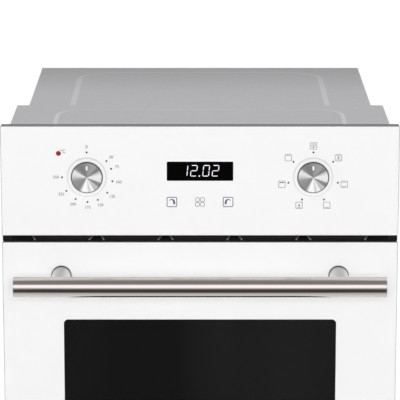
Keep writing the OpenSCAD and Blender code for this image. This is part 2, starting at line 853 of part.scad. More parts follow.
module terminal_block() {
    y0 = rear_y + rear_t - 32;
    color([0.85, 0.84, 0.8]) {
        box([terminal_x - 26, y0, terminal_z - 6], [terminal_x + 26, y0 + 14, terminal_z + 14]);
        for (i = [-1, 0, 1]) rod_y(terminal_x + i * 16, terminal_z + 4, 4, y0 + 13.9, y0 + 17);
    }
}

// Loom from the terminal box forward to the selector, with a branch across to the thermostat
module wiring_loom() {
    x = terminal_x - 25;
    z = knob_z;
    riser = 484;
    branch_y = 100;
    color([0.35, 0.1, 0.1]) {
        bent_tube([[x, 510, terminal_z + 40], [x, riser, terminal_z + 40], [x, riser, z], [x, 69.3, z]], 4);
        bent_tube([[x, branch_y, z], [-knob_x, branch_y, z], [-knob_x, 63.3, z]], 2.5);
    }
}

// ---------- door ----------

// Outline of the window, as a front view
module window_outline() {
    translate([0, (window_top + window_bottom) / 2]) rrect(window_w, window_top - window_bottom, 5);
}

// White glass, flush round its dark window
module door_glass() {
    color([0.97, 0.97, 0.97]) slab_y(0, glass_t) difference() {
        translate([0, door_bottom + door_h / 2]) rrect(front_w, door_h, 1);
        for (s = [-1, 1]) translate([s * post_x, bar_z]) circle(3);
        window_outline();
    }
    color([0.03, 0.03, 0.03]) slab_y(0, glass_t) window_outline();
}

module door_middle_glass() {
    color([0.3, 0.32, 0.32, 0.5]) slab_y(18, glass_t) translate([0, middle_glass_z]) rrect(340, 372, 2);
}

module door_inner_glass() {
    color([0.25, 0.27, 0.27, 0.5]) slab_y(inner_glass_front, glass_t) translate([0, 252]) rrect(392, 388, 6);
}

// Pressed frame that closes the back of the door, with clips at the middle glass's corners
module door_inner_frame() {
    color([0.1, 0.1, 0.1]) {
        slab_y(32, 2) difference() {
            translate([-202, 50]) square([404, 400]);
            translate([0, 238]) rrect(330, 300, 10);
        }
        for (s = [-1, 1], t = [-1, 1]) difference() {
            slab_y(16, 16.1) translate([s * 166, middle_glass_z + t * 182]) square([14, 14], center = true);
            slab_y(17.9, glass_t + 0.2) translate([0, middle_glass_z]) square([340.2, 372.2], center = true);
        }
    }
}

// Folded side channels, open towards the middle
module door_side_channels() {
    wall = 1.2;
    color([0.11, 0.11, 0.11]) for (s = [-1, 1]) translate([0, 0, door_bottom + 2])
        linear_extrude(door_top - 12 - door_bottom - 2) scale([s, 1]) difference() {
            translate([203, glass_t]) square([19, 32 - glass_t]);
            translate([202, glass_t + wall]) square([20 - wall, 32 - glass_t - 2 * wall]);
        }
}

// Cap along the top of the door with five long vents
module door_top_cap() {
    pitch = 78;
    color([0.06, 0.06, 0.06]) difference() {
        box([-222, glass_t, door_top - 12], [222, 38, door_top]);
        box([-220, glass_t + 2, door_top - 13], [220, 36, door_top - 2]);
        for (i = [-2 : 2]) translate([i * pitch, 0, door_top - 3]) linear_extrude(4)
            polygon([[-31.5, 11], [31.5, 11], [34.2, 25], [-34.2, 25]]);
    }
}

// Rail along the bottom, notched for the hinge arms
module door_bottom_rail() {
    color([0.11, 0.11, 0.11]) difference() {
        slab_x(-202, 404) polygon([[glass_t, 22], [26, 22], [32, 27], [32, 30], [glass_t, 30]]);
        for (s = [-1, 1]) box([s * hinge_x - 12, 13.5, 15], [s * hinge_x + 12, 40, 40]);
        box([-170, glass_t + 1.5, 20], [170, 24, 28.5]);
    }
}

module handle_bar() {
    color([0.72, 0.7, 0.68]) difference() {
        rod_x(-bar_offset, bar_z, bar_d / 2, -bar_len / 2, bar_len / 2);
        for (s = [-1, 1]) rod_y(s * post_x, bar_z, 2.5, -bar_offset - 2, 0);
    }
}

// Posts saddled to the bar, each on a thin dark washer
module handle_posts() {
    color([0.72, 0.7, 0.68]) for (s = [-1, 1]) difference() {
        rod_y(s * post_x, bar_z, post_r, -bar_offset, -washer_t);
        rod_x(-bar_offset, bar_z, bar_d / 2, -bar_len / 2, bar_len / 2);
        rod_y(s * post_x, bar_z, 2.5, -bar_offset - 1, 1);
    }
    color([0.05, 0.05, 0.05]) for (s = [-1, 1]) difference() {
        rod_y(s * post_x, bar_z, post_r + 0.3, -washer_t, 0);
        rod_y(s * post_x, bar_z, 3, -2, 1);
    }
}

// Long screws from inside the door, with spreading plates
module handle_screws() {
    color([0.8, 0.8, 0.82]) for (s = [-1, 1]) {
        rod_y(s * post_x, bar_z, 2.45, -bar_offset - 1, glass_t + 2);
        rod_y(s * post_x, bar_z, 9, glass_t, glass_t + 1.6);
        rod_y(s * post_x, bar_z, 4.6, glass_t + 1.5, glass_t + 5);
    }
}

// Open channels in the door that carry the hinge pins
module hinge_cases() {
    wall = 1.5;
    color([0.66, 0.67, 0.69]) for (s = [-1, 1]) {
        for (t = [-1, 1]) slab_x(s * hinge_x + t * 7 - wall / 2, wall) {
            translate([6, 30]) square([18, 170]);
            translate([hinge_y, hinge_z]) circle(7.5);
            translate([14, 27.5]) square([13, 15]);
        }
        box([s * hinge_x - 7, 6, 30.1], [s * hinge_x + 7, 7.5, 200]);
        rod_x(hinge_y, hinge_z, hinge_pin_r, s * hinge_x - 9, s * hinge_x + 9);
        // bracket that the spring pushes against, with a hole for the rod
        difference() {
            box([s * hinge_x - 7, 7, spring_foot - 2], [s * hinge_x + 7, 24, spring_foot]);
            translate([s * hinge_x, rod_y_pos, spring_foot - 3]) cylinder(h = 4, r = 2.6);
        }
    }
}

// Arms that hook into the casing and carry the door on its pins
module hinge_arms() {
    arm_t = 5;
    color([0.7, 0.71, 0.73]) for (s = [-1, 1]) difference() {
        slab_x(s * hinge_x - arm_t / 2, arm_t) {
            translate([hinge_y, hinge_z]) circle(7.5);
            translate([hinge_y, hinge_z - 7.5]) square([60, 15]);
            translate([60, hinge_z - 12]) square([14, 8]);
        }
        rod_x(hinge_y, hinge_z, hinge_pin_r + run_gap, s * hinge_x - 4, s * hinge_x + 4);
    }
}

// Folded pockets behind the face plate that the arms hook into
module hinge_receivers() {
    color([0.6, 0.61, 0.62]) for (s = [-1, 1]) {
        for (t = [-1, 1]) slab_x(s * hinge_x + t * 4.5 - 0.75, 1.5)
            translate([frame_back, 20]) square([50, 28]);
        box([s * hinge_x - 4, frame_back, 46.5], [s * hinge_x + 4, 96, 48]);
        box([s * hinge_x - 4, frame_back, 20], [s * hinge_x + 4, 96, 21.5]);
        slab_y(frame_back, 1.5) for (t = [-1, 1]) translate([s * hinge_x + t * 9, 34])
            square([9, 28], center = true);
    }
}

// Pull rods with a fork at the foot and a nut at the head
module hinge_rods() {
    color([0.75, 0.75, 0.77]) for (s = [-1, 1]) translate([s * hinge_x, rod_y_pos, 0]) {
        translate([0, 0, 60]) cylinder(h = 121, r = 2.4);
        translate([-2, -4, 48]) cube([4, 8, 14]);
        translate([0, 0, spring_top]) cylinder(h = 5, r = 6);
    }
}

// Compression springs round the pull rods, between the brackets and the nuts
module hinge_springs() {
    color([0.5, 0.5, 0.52]) for (s = [-1, 1]) translate([s * hinge_x, rod_y_pos, spring_foot + 0.2]) {
        coil_spring(4.4, 0.8, spring_top - spring_foot - 0.4, 14);
    }
}

// ---------- knobs ----------

module spindle(x) {
    color([0.7, 0.7, 0.72]) rod_y(x, knob_z, spindle_r, -0.3, 50);
}

// Cup-shaped knob with a spun metal face and a white pointer
module knob(x) {
    face_r = knob_r - 0.7;
    hub_r = 6.5;
    hub_end = knob_travel + 4;
    color([0.75, 0.75, 0.76]) difference() {
        turned(x, knob_z) {
            polygon([[0, knob_face_y + 0.25], [face_r - 0.4, knob_face_y], [face_r, knob_face_y + 0.2],
                     [knob_r, knob_face_y + 0.9], [knob_r, knob_travel], [knob_r - 1.6, knob_travel],
                     [knob_r - 1.6, 0], [0, 0]]);
            translate([0, -0.1]) square([hub_r, hub_end + 0.1]);
        }
        rod_y(x, knob_z, spindle_r + run_gap, -0.8, hub_end + 1);
        translate([x - 1.05, knob_face_y - 0.1, knob_z + 8.4]) cube([2.1, 0.6, 4.8]);
    }
    color([1, 1, 1]) translate([x - 1.05, knob_face_y - 0.05, knob_z + 8.4]) cube([2.1, 0.55, 4.8]);
}

// ---------- nodes ----------

from_front() panel_glass();
from_front() panel_carrier();
from_front() display_lens();
from_front() timer_module();
from_front() knob_bezels();
from_front() knob_springs();
from_front() pilot_lamp();
from_front() switch_bracket();
from_front() thermostat();
from_front() thermostat_sensor();
from_front() selector_switch();
from_front() control_cover();
from_front() top_cover();
from_front() side_panel(-1);  // side_panel_left
from_front() side_panel(1);  // side_panel_right
from_front() base_plate();
from_front() rear_panel();
from_front() front_frame();
from_front() cavity_liner();
from_front() insulation();
from_front() door_seal();
from_front() hinge_arms();
from_front() hinge_receivers();
from_front() grill_element();
from_front() bottom_element();
from_front() fan_baffle();
from_front() convection_motor();
from_front() lamp_holder();
from_front() lamp_glass();
from_front() side_racks();
from_front() blower_housing();
from_front() blower_motor();
from_front() air_duct();
from_front() air_outlet();
from_front() terminal_box();
from_front() terminal_cover();
from_front() terminal_block();
from_front() wiring_loom();
from_front() casing_screws();
from_front() door_glass();
from_front() door_middle_glass();
from_front() door_inner_glass();
from_front() door_inner_frame();
from_front() door_side_channels();
from_front() door_top_cap();
from_front() door_bottom_rail();
from_front() handle_bar();
from_front() handle_posts();
from_front() handle_screws();
from_front() hinge_cases();
from_front() hinge_rods();
from_front() hinge_springs();
from_front() spindle(-knob_x);  // temperature_spindle
from_front() spindle(knob_x);  // function_spindle
from_front() knob(-knob_x);  // temperature_knob
from_front() knob(knob_x);  // function_knob
from_front() convection_fan();
from_front() blower_impeller();
from_front() wire_shelf();
from_front() baking_tray();
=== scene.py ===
# Studio scene of a built-in wall oven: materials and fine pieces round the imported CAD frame.
# Sizes are in millimetres, turned into metres by MM, apart from the stage's, which are in metres.
# x runs to the right and y to the back, as in the CAD frame.
import json
import math

import bmesh
import bpy
from mathutils import Matrix, Vector


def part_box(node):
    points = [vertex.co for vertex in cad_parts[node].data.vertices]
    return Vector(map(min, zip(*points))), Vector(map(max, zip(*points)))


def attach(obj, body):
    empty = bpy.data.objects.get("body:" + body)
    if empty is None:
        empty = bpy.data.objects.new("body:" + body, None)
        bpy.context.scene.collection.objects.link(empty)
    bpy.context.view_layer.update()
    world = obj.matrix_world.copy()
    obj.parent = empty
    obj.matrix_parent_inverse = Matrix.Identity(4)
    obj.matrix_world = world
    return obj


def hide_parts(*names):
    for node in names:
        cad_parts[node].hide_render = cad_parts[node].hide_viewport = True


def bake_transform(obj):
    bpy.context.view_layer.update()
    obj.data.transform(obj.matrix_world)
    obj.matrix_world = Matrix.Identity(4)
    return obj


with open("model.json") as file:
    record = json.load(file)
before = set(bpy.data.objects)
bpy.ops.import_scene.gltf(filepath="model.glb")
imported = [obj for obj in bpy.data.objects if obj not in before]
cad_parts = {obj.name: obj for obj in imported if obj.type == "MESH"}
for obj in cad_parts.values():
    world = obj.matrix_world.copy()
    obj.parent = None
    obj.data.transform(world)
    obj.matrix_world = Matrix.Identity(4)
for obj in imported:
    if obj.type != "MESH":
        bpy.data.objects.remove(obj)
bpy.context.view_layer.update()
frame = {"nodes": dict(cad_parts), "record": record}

MM = 0.001
NODES = frame["nodes"]

# The front glass plane and the glass's thickness
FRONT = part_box("door_glass")[0].y
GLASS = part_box("door_glass")[1].y - FRONT
# Front face of the casing's rear panel
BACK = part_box("rear_panel")[0].y
# The plane and thickness of the prints on the glass
PRINT_Y = FRONT - 0.03 * MM
PRINT_DEPTH = 0.04 * MM
# How far from the middle the handle posts stand, from the washers that are their widest part
WASHER_R = 10.8 * MM
POST_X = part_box("handle_posts")[1].x - WASHER_R


# ---------- shapes ----------

def centre(node):
    """Middle of a CAD node's box."""
    lo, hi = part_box(node)
    return (lo + hi) / 2


def rounded(w, h, r, steps=8):
    """Points of a rectangle with round corners, centred on the origin, anticlockwise."""
    points = []
    for corner, (sx, sy) in enumerate(((1, 1), (-1, 1), (-1, -1), (1, -1))):
        for i in range(steps + 1):
            a = math.radians(90 * corner + 90 * i / steps)
            points.append((sx * (w / 2 - r) + r * math.cos(a), sy * (h / 2 - r) + r * math.sin(a)))
    return points


def circle(r, steps):
    """Points of a circle, anticlockwise."""
    angles = [2 * math.pi * i / steps for i in range(steps)]
    return [(r * math.cos(a), r * math.sin(a)) for a in angles]


def moved(points, x, z, turn=0.0):
    """2D points turned anticlockwise and moved."""
    c, s = math.cos(turn), math.sin(turn)
    return [(x + c * px - s * pz, z + s * px + c * pz) for px, pz in points]


def from_front(profile):
    """(radius, y) points in metres, from millimetres with y counted from the front glass plane."""
    return [(r * MM, FRONT + y * MM) for r, y in profile]


def new_object(name, bm, mats, smooth=35):
    """A linked object from a bmesh, smoothed up to an angle in degrees."""
    mesh = bpy.data.meshes.new(name)
    bmesh.ops.recalc_face_normals(bm, faces=bm.faces)
    bm.to_mesh(mesh)
    bm.free()
    for mat in mats:
        mesh.materials.append(mat)
    obj = bpy.data.objects.new(name, mesh)
    bpy.context.scene.collection.objects.link(obj)
    mesh.shade_smooth()
    mesh.set_sharp_from_angle(angle=math.radians(smooth))
    return obj


def loft(bm, loops, capped=True, slot=0, ring=False):
    """Skins a row of loops of equal length, and caps its ends or joins them into a ring."""
    rows = [[bm.verts.new(p) for p in loop] for loop in loops]
    count = len(rows[0])
    for a, b in zip(rows, rows[1:] + rows[:1] if ring else rows[1:]):
        for i in range(count):
            j = (i + 1) % count
            bm.faces.new((a[i], a[j], b[j], b[i])).material_index = slot
    if capped and not ring:
        for row in (rows[0], rows[-1]):
            bm.faces.new(row).material_index = slot
    return rows


def turned(bm, x, z, profile, steps, slot=0):
    """Skins a profile of (radius, y) points, turned about an axis along Y at (x, z)."""
    rows = []
    for r, y in profile:
        if r == 0:
            rows.append([bm.verts.new((x, y, z))])
            continue
        rows.append([bm.verts.new((x + px, y, z + pz)) for px, pz in circle(r, steps)])
    for a, b in zip(rows, rows[1:]):
        for i in range(steps):
            j = (i + 1) % steps
            corners = [a[i % len(a)], a[j % len(a)], b[j % len(b)], b[i % len(b)]]
            bm.faces.new(list(dict.fromkeys(corners))).material_index = slot


def ribbon(bm, points, width, closed, slot):
    """A flat line of even width through (x, z) points, in the plane of the prints."""
    count = len(points)
    left, right = [], []
    for i, p in enumerate(points):
        before = Vector(points[i - 1] if (closed or i > 0) else p)
        after = Vector(points[(i + 1) % count] if (closed or i < count - 1) else p)
        here = Vector(p)
        a = (here - before).normalized()
        b = (after - here).normalized()
        along = (a + b).normalized() if (a + b).length > 1e-9 else b
        normal = Vector((-along.y, along.x))
        reach = width / 2 / max(0.5, normal.dot(Vector((-b.y, b.x)) if b.length else normal))
        left.append(bm.verts.new((here.x + normal.x * reach, PRINT_Y, here.y + normal.y * reach)))
        right.append(bm.verts.new((here.x - normal.x * reach, PRINT_Y, here.y - normal.y * reach)))
    for i in range(count if closed else count - 1):
        j = (i + 1) % count
        bm.faces.new((left[i], left[j], right[j], right[i])).material_index = slot


def patch(bm, points, y=PRINT_Y, slot=0):
    """A flat filled shape through (x, z) points, in the plane at y."""
    bm.faces.new([bm.verts.new((px, y, pz)) for px, pz in points]).material_index = slot


def islands(node):
    """Boxes of the separate solids in one CAD node, always in the same order."""
    bm = bmesh.new()
    bm.from_mesh(NODES[node].data)
    bmesh.ops.remove_doubles(bm, verts=bm.verts, dist=1e-6)
    left = set(bm.verts)
    boxes = []
    while left:
        todo = [left.pop()]
        found = list(todo)
        while todo:
            for edge in todo.pop().link_edges:
                for v in edge.verts:
                    if v in left:
                        left.remove(v)
                        todo.append(v)
                        found.append(v)
        boxes.append([Vector([pick(v.co[k] for v in found) for k in range(3)]) for pick in (min, max)])
    bm.free()
    return sorted(boxes, key=lambda box: tuple(box[0]))


# ---------- materials ----------

class Nodes:
    """A node tree with shortcuts for making linked nodes."""

    def __init__(self, tree):
        self.tree = tree

    def node(self, kind, inputs=(), **props):
        made = self.tree.nodes.new(kind)
        for key, value in props.items():
            setattr(made, key, value)
        for key, value in dict(inputs).items():
            if isinstance(value, bpy.types.NodeSocket):
                self.tree.links.new(value, made.inputs[key])
            else:
                made.inputs[key].default_value = value
        return made

    def math(self, operation, a, b=0.0):
        return self.node("ShaderNodeMath", {0: a, 1: b}, operation=operation).outputs[0]

    def spread(self, value, lo, hi, new_lo=0.0, new_hi=1.0, **props):
        """A value that runs from new_lo to new_hi while the given one runs from lo to hi."""
        inputs = {0: value, 1: lo, 2: hi, 3: new_lo, 4: new_hi}
        return self.node("ShaderNodeMapRange", inputs, **props).outputs[0]

    def mix(self, fac, a, b):
        """Colour that runs from a to b with fac."""
        a, b = [c if isinstance(c, bpy.types.NodeSocket) else (*c, 1) for c in (a, b)]
        return self.node("ShaderNodeMix", {0: fac, 6: a, 7: b}, data_type="RGBA").outputs[2]

    def ramp(self, fac, stops, shade, interpolation="LINEAR"):
        """Colour ramp over a full turn, from (degrees, value) stops, with shade to colour a value."""
        made = self.node("ShaderNodeValToRGB", {0: fac})
        made.color_ramp.interpolation = interpolation
        points = made.color_ramp.elements
        while len(points) < len(stops):
            points.new(0.5)
        for element, (angle, value) in zip(points, stops):
            element.position = (angle + 180) / 360
            element.color = (*shade(value), 1)
        return made.outputs[0]


class Look(Nodes):
    """A procedural material: its nodes, its shader and shortcuts for common detail."""

    def __init__(self, name, color, rough, metal=0.0, **sockets):
        self.mat = bpy.data.materials.new(name)
        self.mat.use_nodes = True
        self.mat.diffuse_color = (*color, 1)
        super().__init__(self.mat.node_tree)
        self.shader = self.tree.nodes["Principled BSDF"]
        self.shader.inputs["Base Color"].default_value = (*color, 1)
        self.shader.inputs["Roughness"].default_value = rough
        self.shader.inputs["Metallic"].default_value = metal
        for key, value in sockets.items():
            self.shader.inputs[key.replace("_", " ")].default_value = value
        self.color = color

    def feed(self, value, socket):
        """Links a value to one of the shader's inputs."""
        self.tree.links.new(value, self.shader.inputs[socket])

    def place(self, stretch=(1, 1, 1)):
        """Object coordinates in metres, stretched."""
        coords = self.node("ShaderNodeTexCoord").outputs["Object"]
        return self.node("ShaderNodeMapping", {"Vector": coords, "Scale": stretch}).outputs[0]

    def axes(self):
        """The object coordinates' x, y and z."""
        return self.node("ShaderNodeSeparateXYZ", {0: self.place()}).outputs

    def noise(self, scale, detail, stretch=(1, 1, 1), rough=0.5):
        return self.node("ShaderNodeTexNoise", {"Vector": self.place(stretch), "Scale": scale,
                                                "Detail": detail, "Roughness": rough}).outputs[0]

    def cells(self, scale, output="Color", feature="F1"):
        made = self.node("ShaderNodeTexVoronoi", {"Vector": self.place(), "Scale": scale}, feature=feature)
        return made.outputs[output]

    def pick(self, scale):
        """One random value for each cell."""
        return self.node("ShaderNodeSeparateColor", {0: self.cells(scale)}).outputs[0]

    def wave(self, scale, distortion, direction, **inputs):
        sockets = {"Vector": self.place(), "Scale": scale, "Distortion": distortion, **inputs}
        return self.node("ShaderNodeTexWave", sockets, bands_direction=direction).outputs[1]

    def tint(self, fac, a, b):
        """Base colour runs from a to b with fac."""
        color = self.mix(fac, a, b)
        self.feed(color, "Base Color")
        return color

    def vary(self, fac, amount):
        """Base colour a little lighter and darker with fac."""
        lighter = [min(1.0, c * (1 + amount)) for c in self.color]
        darker = [c * (1 - amount) for c in self.color]
        return self.tint(fac, darker, lighter)

    def roughness(self, fac, lo, hi):
        self.feed(self.spread(fac, 0.0, 1.0, lo, hi), "Roughness")

    def bump(self, height, strength, distance):
        made = self.node("ShaderNodeBump", {"Height": height, "Strength": strength, "Distance": distance})
        self.feed(made.outputs[0], "Normal")


def enamel_glass():
    """White print behind polished glass."""
    look = Look("white_glass", (0.892, 0.892, 0.892), 0.06, Coat_Weight=0.6, Coat_Roughness=0.02, IOR=1.5)
    look.vary(look.noise(9, 2), 0.012)
    look.bump(look.noise(45, 2), 0.04, 0.0004)
    return look.mat


def glass_edge():
    """Ground edge of the front glass, greener than its face."""
    look = Look("glass_edge", (0.16, 0.18, 0.175), 0.35, Specular_IOR_Level=0.25)
    look.vary(look.noise(600, 2), 0.06)
    look.bump(look.noise(1500, 2), 0.1, 0.00005)
    return look.mat


def window_glass():
    """Dark reflective window print, a little see-through, with faint painted reflection streaks."""
    look = Look("black_glass", (0.012, 0.012, 0.0125), 0.035, IOR=1.5, Transmission_Weight=0.25)
    # Painted reflections: faint long streaks, slightly lighter in colour.
    painted_reflection_streaks = look.noise(5.0, 3, (1.0, 1.0, 0.12))
    look.tint(look.spread(painted_reflection_streaks, 0.42, 0.68), (0.006, 0.006, 0.0065), (0.018, 0.018, 0.019))
    look.roughness(look.noise(30, 2), 0.02, 0.06)
    return look.mat


def display_glass():
    """Black glass of the display, with hardly a reflection."""
    look = Look("display_black", (0.001, 0.001, 0.001), 0.05, Specular_IOR_Level=0.08)
    look.vary(look.noise(60, 2), 0.3)
    return look.mat


def smoked_glass():
    """Inner panes: heat-reflecting glass, half see-through, a little uneven in tint and flatness."""
    look = Look("tinted_glass", (0.030, 0.034, 0.034), 0.03, IOR=1.6, Specular_IOR_Level=0.9, Alpha=0.5)
    look.vary(look.noise(12, 2), 0.08)
    look.bump(look.noise(14, 2), 0.03, 0.0004)
    return look.mat


def galvanised(name, gain):
    """Zinc-coated sheet: soft spangle, faint rolling lines, satin, with painted shade that darkens its colour
    towards the back.
    """
    look = Look(name, (0.44, 0.443, 0.455), 0.34, 0.9)
    rolled = look.noise(700, 3, (0.06, 1, 1))
    mixed = look.math("ADD", look.math("MULTIPLY", look.pick(330), 0.5), look.math("MULTIPLY", rolled, 0.5))
    cloud = look.noise(7, 3, (0.5, 1.6, 1))
    grain = look.math("ADD", look.math("MULTIPLY", mixed, 0.304), look.math("MULTIPLY", cloud, 0.077))
    # Painted shade: the colour darkens from front to back, standing in for the light falling off across the
    # sheet.
    depth = look.axes()[1]
    painted_falloff_shade = look.math("ADD", look.spread(depth, FRONT + 190 * MM, BACK, 0.21, 0.0),
                     look.spread(depth, FRONT + 360 * MM, BACK, 0.29, 0.0))
    dull, bright = [[gain * c for c in color] for color in ((0.282, 0.282, 0.293), (0.751, 0.752, 0.773))]
    look.tint(look.math("ADD", grain, painted_falloff_shade), dull, bright)
    look.roughness(mixed, 0.28, 0.40)
    look.bump(look.math("ADD", look.noise(6, 2), look.math("MULTIPLY", mixed, 0.05)), 0.05, 0.0005)
    return look.mat


def coated_steel(name, color, rough, metal):
    """Painted or plated pressing: fine grain in colour, roughness and height."""
    look = Look(name, color, rough, metal)
    look.vary(look.noise(260, 4), 0.05)
    look.roughness(look.noise(40, 3), rough * 0.85, rough * 1.2)
    look.bump(look.noise(1400, 3), 0.12, 0.00008)
    return look.mat


def vitreous():
    """Oven enamel: deep grey-blue with pale specks and a glassy, slightly wavy skin."""
    look = Look("enamel", (0.045, 0.047, 0.056), 0.14, Coat_Weight=0.5, Coat_Roughness=0.06)
    middle = look.math("LESS_THAN", look.cells(420, output="Distance"), 0.26)
    chosen = look.math("GREATER_THAN", look.pick(420), 0.62)
    look.tint(look.math("MULTIPLY", middle, chosen), (0.042, 0.044, 0.053), (0.32, 0.34, 0.38))
    look.bump(look.noise(120, 2), 0.12, 0.0003)
    return look.mat


def brushed(name, color, rough, stretch, anisotropic, speck=0.10):
    """Brushed metal, its lines along the axis that stretch makes long."""
    look = Look(name, color, rough, 1.0, Anisotropic=anisotropic)
    lines = look.noise(700, 4, stretch)
    look.vary(lines, speck)
    look.roughness(lines, rough * 0.8, rough * 1.25)
    look.bump(lines, 0.10, 0.00005)
    return look.mat


def spun_face(name, x, z):
    """Spun metal disc: concentric lines, with a fan of painted highlights and painted shade round its axis,
    set in the base colour and turning with the knob.
    """
    line_pitch = 0.22 * MM
    # Painted highlights and shade: (degrees round the axis, tone) stops of the fan.
    stops = ((-180, 0.95), (-165, 0.95), (-145, 0.25), (-110, 0.30), (-70, 0.80), (-60, 0.75), (-50, 0.25),
             (-30, 0.20), (35, 0.35), (55, 0.20), (70, 0.65), (80, 0.85), (105, 0.80), (115, 0.25),
             (125, 0.25), (135, 0.60), (145, 0.50), (155, 0.95), (170, 0.65), (180, 0.95))
    look = Look(name, (0.42, 0.42, 0.425), 0.34, 0.12, Specular_IOR_Level=0.4)
    at = look.axes()
    dx = look.math("SUBTRACT", at[0], x)
    dz = look.math("SUBTRACT", at[2], z)
    turn = look.spread(look.math("ARCTAN2", dx, dz), -math.pi, math.pi)
    # The fan's painted light and dark, as base colour.
    fan = look.ramp(turn, stops, lambda value: (value, value, value * 1.01), "EASE")
    radius = look.math("SQRT", look.math("ADD", look.math("MULTIPLY", dx, dx), look.math("MULTIPLY", dz, dz)))
    rings = look.math("SINE", look.math("MULTIPLY", radius, 2 * math.pi / line_pitch))
    gain = look.spread(look.math("ADD", rings, look.noise(1800, 2)), -1.0, 2.0, 0.93, 1.05)
    painted_fan_tone = look.node("ShaderNodeHueSaturation", {"Color": fan, "Value": gain})
    look.feed(painted_fan_tone.outputs[0], "Base Color")
    look.bump(rings, 0.10, 0.00004)
    return look.mat


def plastic(name, color, rough, grain=1800, **sockets):
    """Moulded plastic or glazed ceramic: a fine-grained skin, a little uneven in tone."""
    look = Look(name, color, rough, **sockets)
    look.vary(look.noise(80, 2), 0.04)
    look.roughness(look.noise(200, 2), rough * 0.85, rough * 1.2)
    look.bump(look.noise(grain, 2), 0.15, 0.00006)
    return look.mat


def circuit_board():
    """Green lacquer between thin copper tracks."""
    look = Look("circuit_board", (0.03, 0.16, 0.08), 0.35, Coat_Weight=0.3)
    edges = look.cells(300, output="Distance", feature="DISTANCE_TO_EDGE")
    tracks = look.math("GREATER_THAN", edges, 0.08)
    look.tint(tracks, (0.35, 0.30, 0.10), (0.02, 0.13, 0.065))
    look.bump(tracks, 0.3, 0.00005)
    return look.mat


def lamp_lens():
    """Red moulded lens, a little uneven in colour."""
    look = Look("red_lens", (0.33, 0.008, 0.010), 0.18, Specular_IOR_Level=0.35)
    look.tint(look.noise(260, 2), (0.20, 0.004, 0.006), (0.46, 0.010, 0.012))
    look.bump(look.noise(700, 1), 0.1, 0.0001)
    return look.mat


def braided_seal():
    """Woven glass-fibre sleeve: a fine diagonal weave."""
    look = Look("seal", (0.060, 0.060, 0.063), 0.75, Sheen_Weight=0.2)
    weave = look.wave(260, 1.5, "DIAGONAL", Detail=2)
    look.tint(weave, (0.035, 0.035, 0.037), (0.10, 0.10, 0.104))
    look.bump(weave, 0.6, 0.0004)
    return look.mat


def fibre_blanket():
    """Mineral wool, its strands drawn out from front to back."""
    look = Look("mineral_fibre", (0.66, 0.58, 0.36), 0.95, Sheen_Weight=0.3)
    strands = look.noise(420, 5, (1, 0.25, 1), 0.7)
    look.tint(strands, (0.50, 0.42, 0.22), (0.80, 0.74, 0.52))
    look.bump(strands, 0.9, 0.0015)
    return look.mat


def heater_tube():
    """Heater sheath, dark with a brownish bloom from the heat."""
    look = Look("heater", (0.11, 0.10, 0.098), 0.5, 0.7)
    bloom = look.noise(55, 4)
    look.tint(look.spread(bloom, 0.3, 0.7), (0.07, 0.065, 0.062), (0.20, 0.175, 0.155))
    look.roughness(bloom, 0.35, 0.65)
    look.bump(look.noise(900, 3), 0.2, 0.0001)
    return look.mat


def bright_metal(name, color, rough):
    """Plated wire and turned pins: bright, with faint drawn lines and dullness in patches."""
    look = Look(name, color, rough, 1.0)
    look.roughness(look.noise(60, 3), rough * 0.7, rough * 1.8)
    look.vary(look.noise(500, 2), 0.04)
    look.bump(look.noise(1600, 2, (1, 0.1, 1)), 0.06, 0.00004)
    return look.mat


def laminated_core():
    """Stacked motor sheets, seen as fine bands."""
    look = Look("motor", (0.30, 0.31, 0.32), 0.5, 0.8)
    sheets = look.wave(300, 0.4, "Y")
    look.tint(sheets, (0.20, 0.205, 0.21), (0.42, 0.43, 0.44))
    look.bump(sheets, 0.5, 0.0002)
    return look.mat


def clear_glass():
    """Pressed clear glass with a dimpled skin."""
    look = Look("clear_glass", (0.93, 0.96, 0.94), 0.03, IOR=1.47, Transmission_Weight=0.9)
    look.roughness(look.noise(120, 2), 0.02, 0.12)
    look.bump(look.cells(220, output="Distance"), 0.25, 0.0004)
    return look.mat


def printed(name, color):
    """Screen-printed ink, matt, with a slightly uneven film."""
    look = Look(name, color, 0.55)
    look.vary(look.noise(1500, 2), 0.08)
    return look.mat


def glowing(name, color, strength):
    """Lit figures of a display."""
    look = Look(name, color, 0.4, Emission_Strength=strength)
    look.feed(look.vary(look.noise(900, 1), 0.03), "Emission Color")
    return look.mat


def post_metal():
    """Satin handle posts with painted highlights that make them lighter to their sides, each ended at the
    glass by a black washer.
    """
    post_r, washer = 10.5 * MM, 0.85 * MM
    look = Look("post_metal", (0.52, 0.51, 0.50), 0.30, 1.0)
    x, y = look.axes()[:2]
    off = look.math("SUBTRACT", look.math("ABSOLUTE", x), POST_X)
    # Painted highlight: the colour lightens from each post's middle to its sides.
    side = look.math("MULTIPLY", look.math("MULTIPLY", off, off), 1.25 / post_r ** 2)
    metal = look.mix(side, (0.49, 0.475, 0.465), (0.84, 0.825, 0.81))
    black = look.math("GREATER_THAN", y, FRONT - washer)
    look.tint(black, metal, (0.03, 0.03, 0.03))
    look.feed(look.math("SUBTRACT", 1.0, black), "Metallic")
    look.roughness(look.math("MAXIMUM", black, look.noise(300, 3)), 0.24, 0.55)
    look.bump(look.noise(900, 3, (1, 0.1, 1)), 0.06, 0.00005)
    return look.mat


def studio_floor():
    """Pale floor, nearly even in tone."""
    look = Look("studio_floor", (0.93, 0.93, 0.93), 0.8)
    look.vary(look.noise(3, 2), 0.004)
    return look.mat


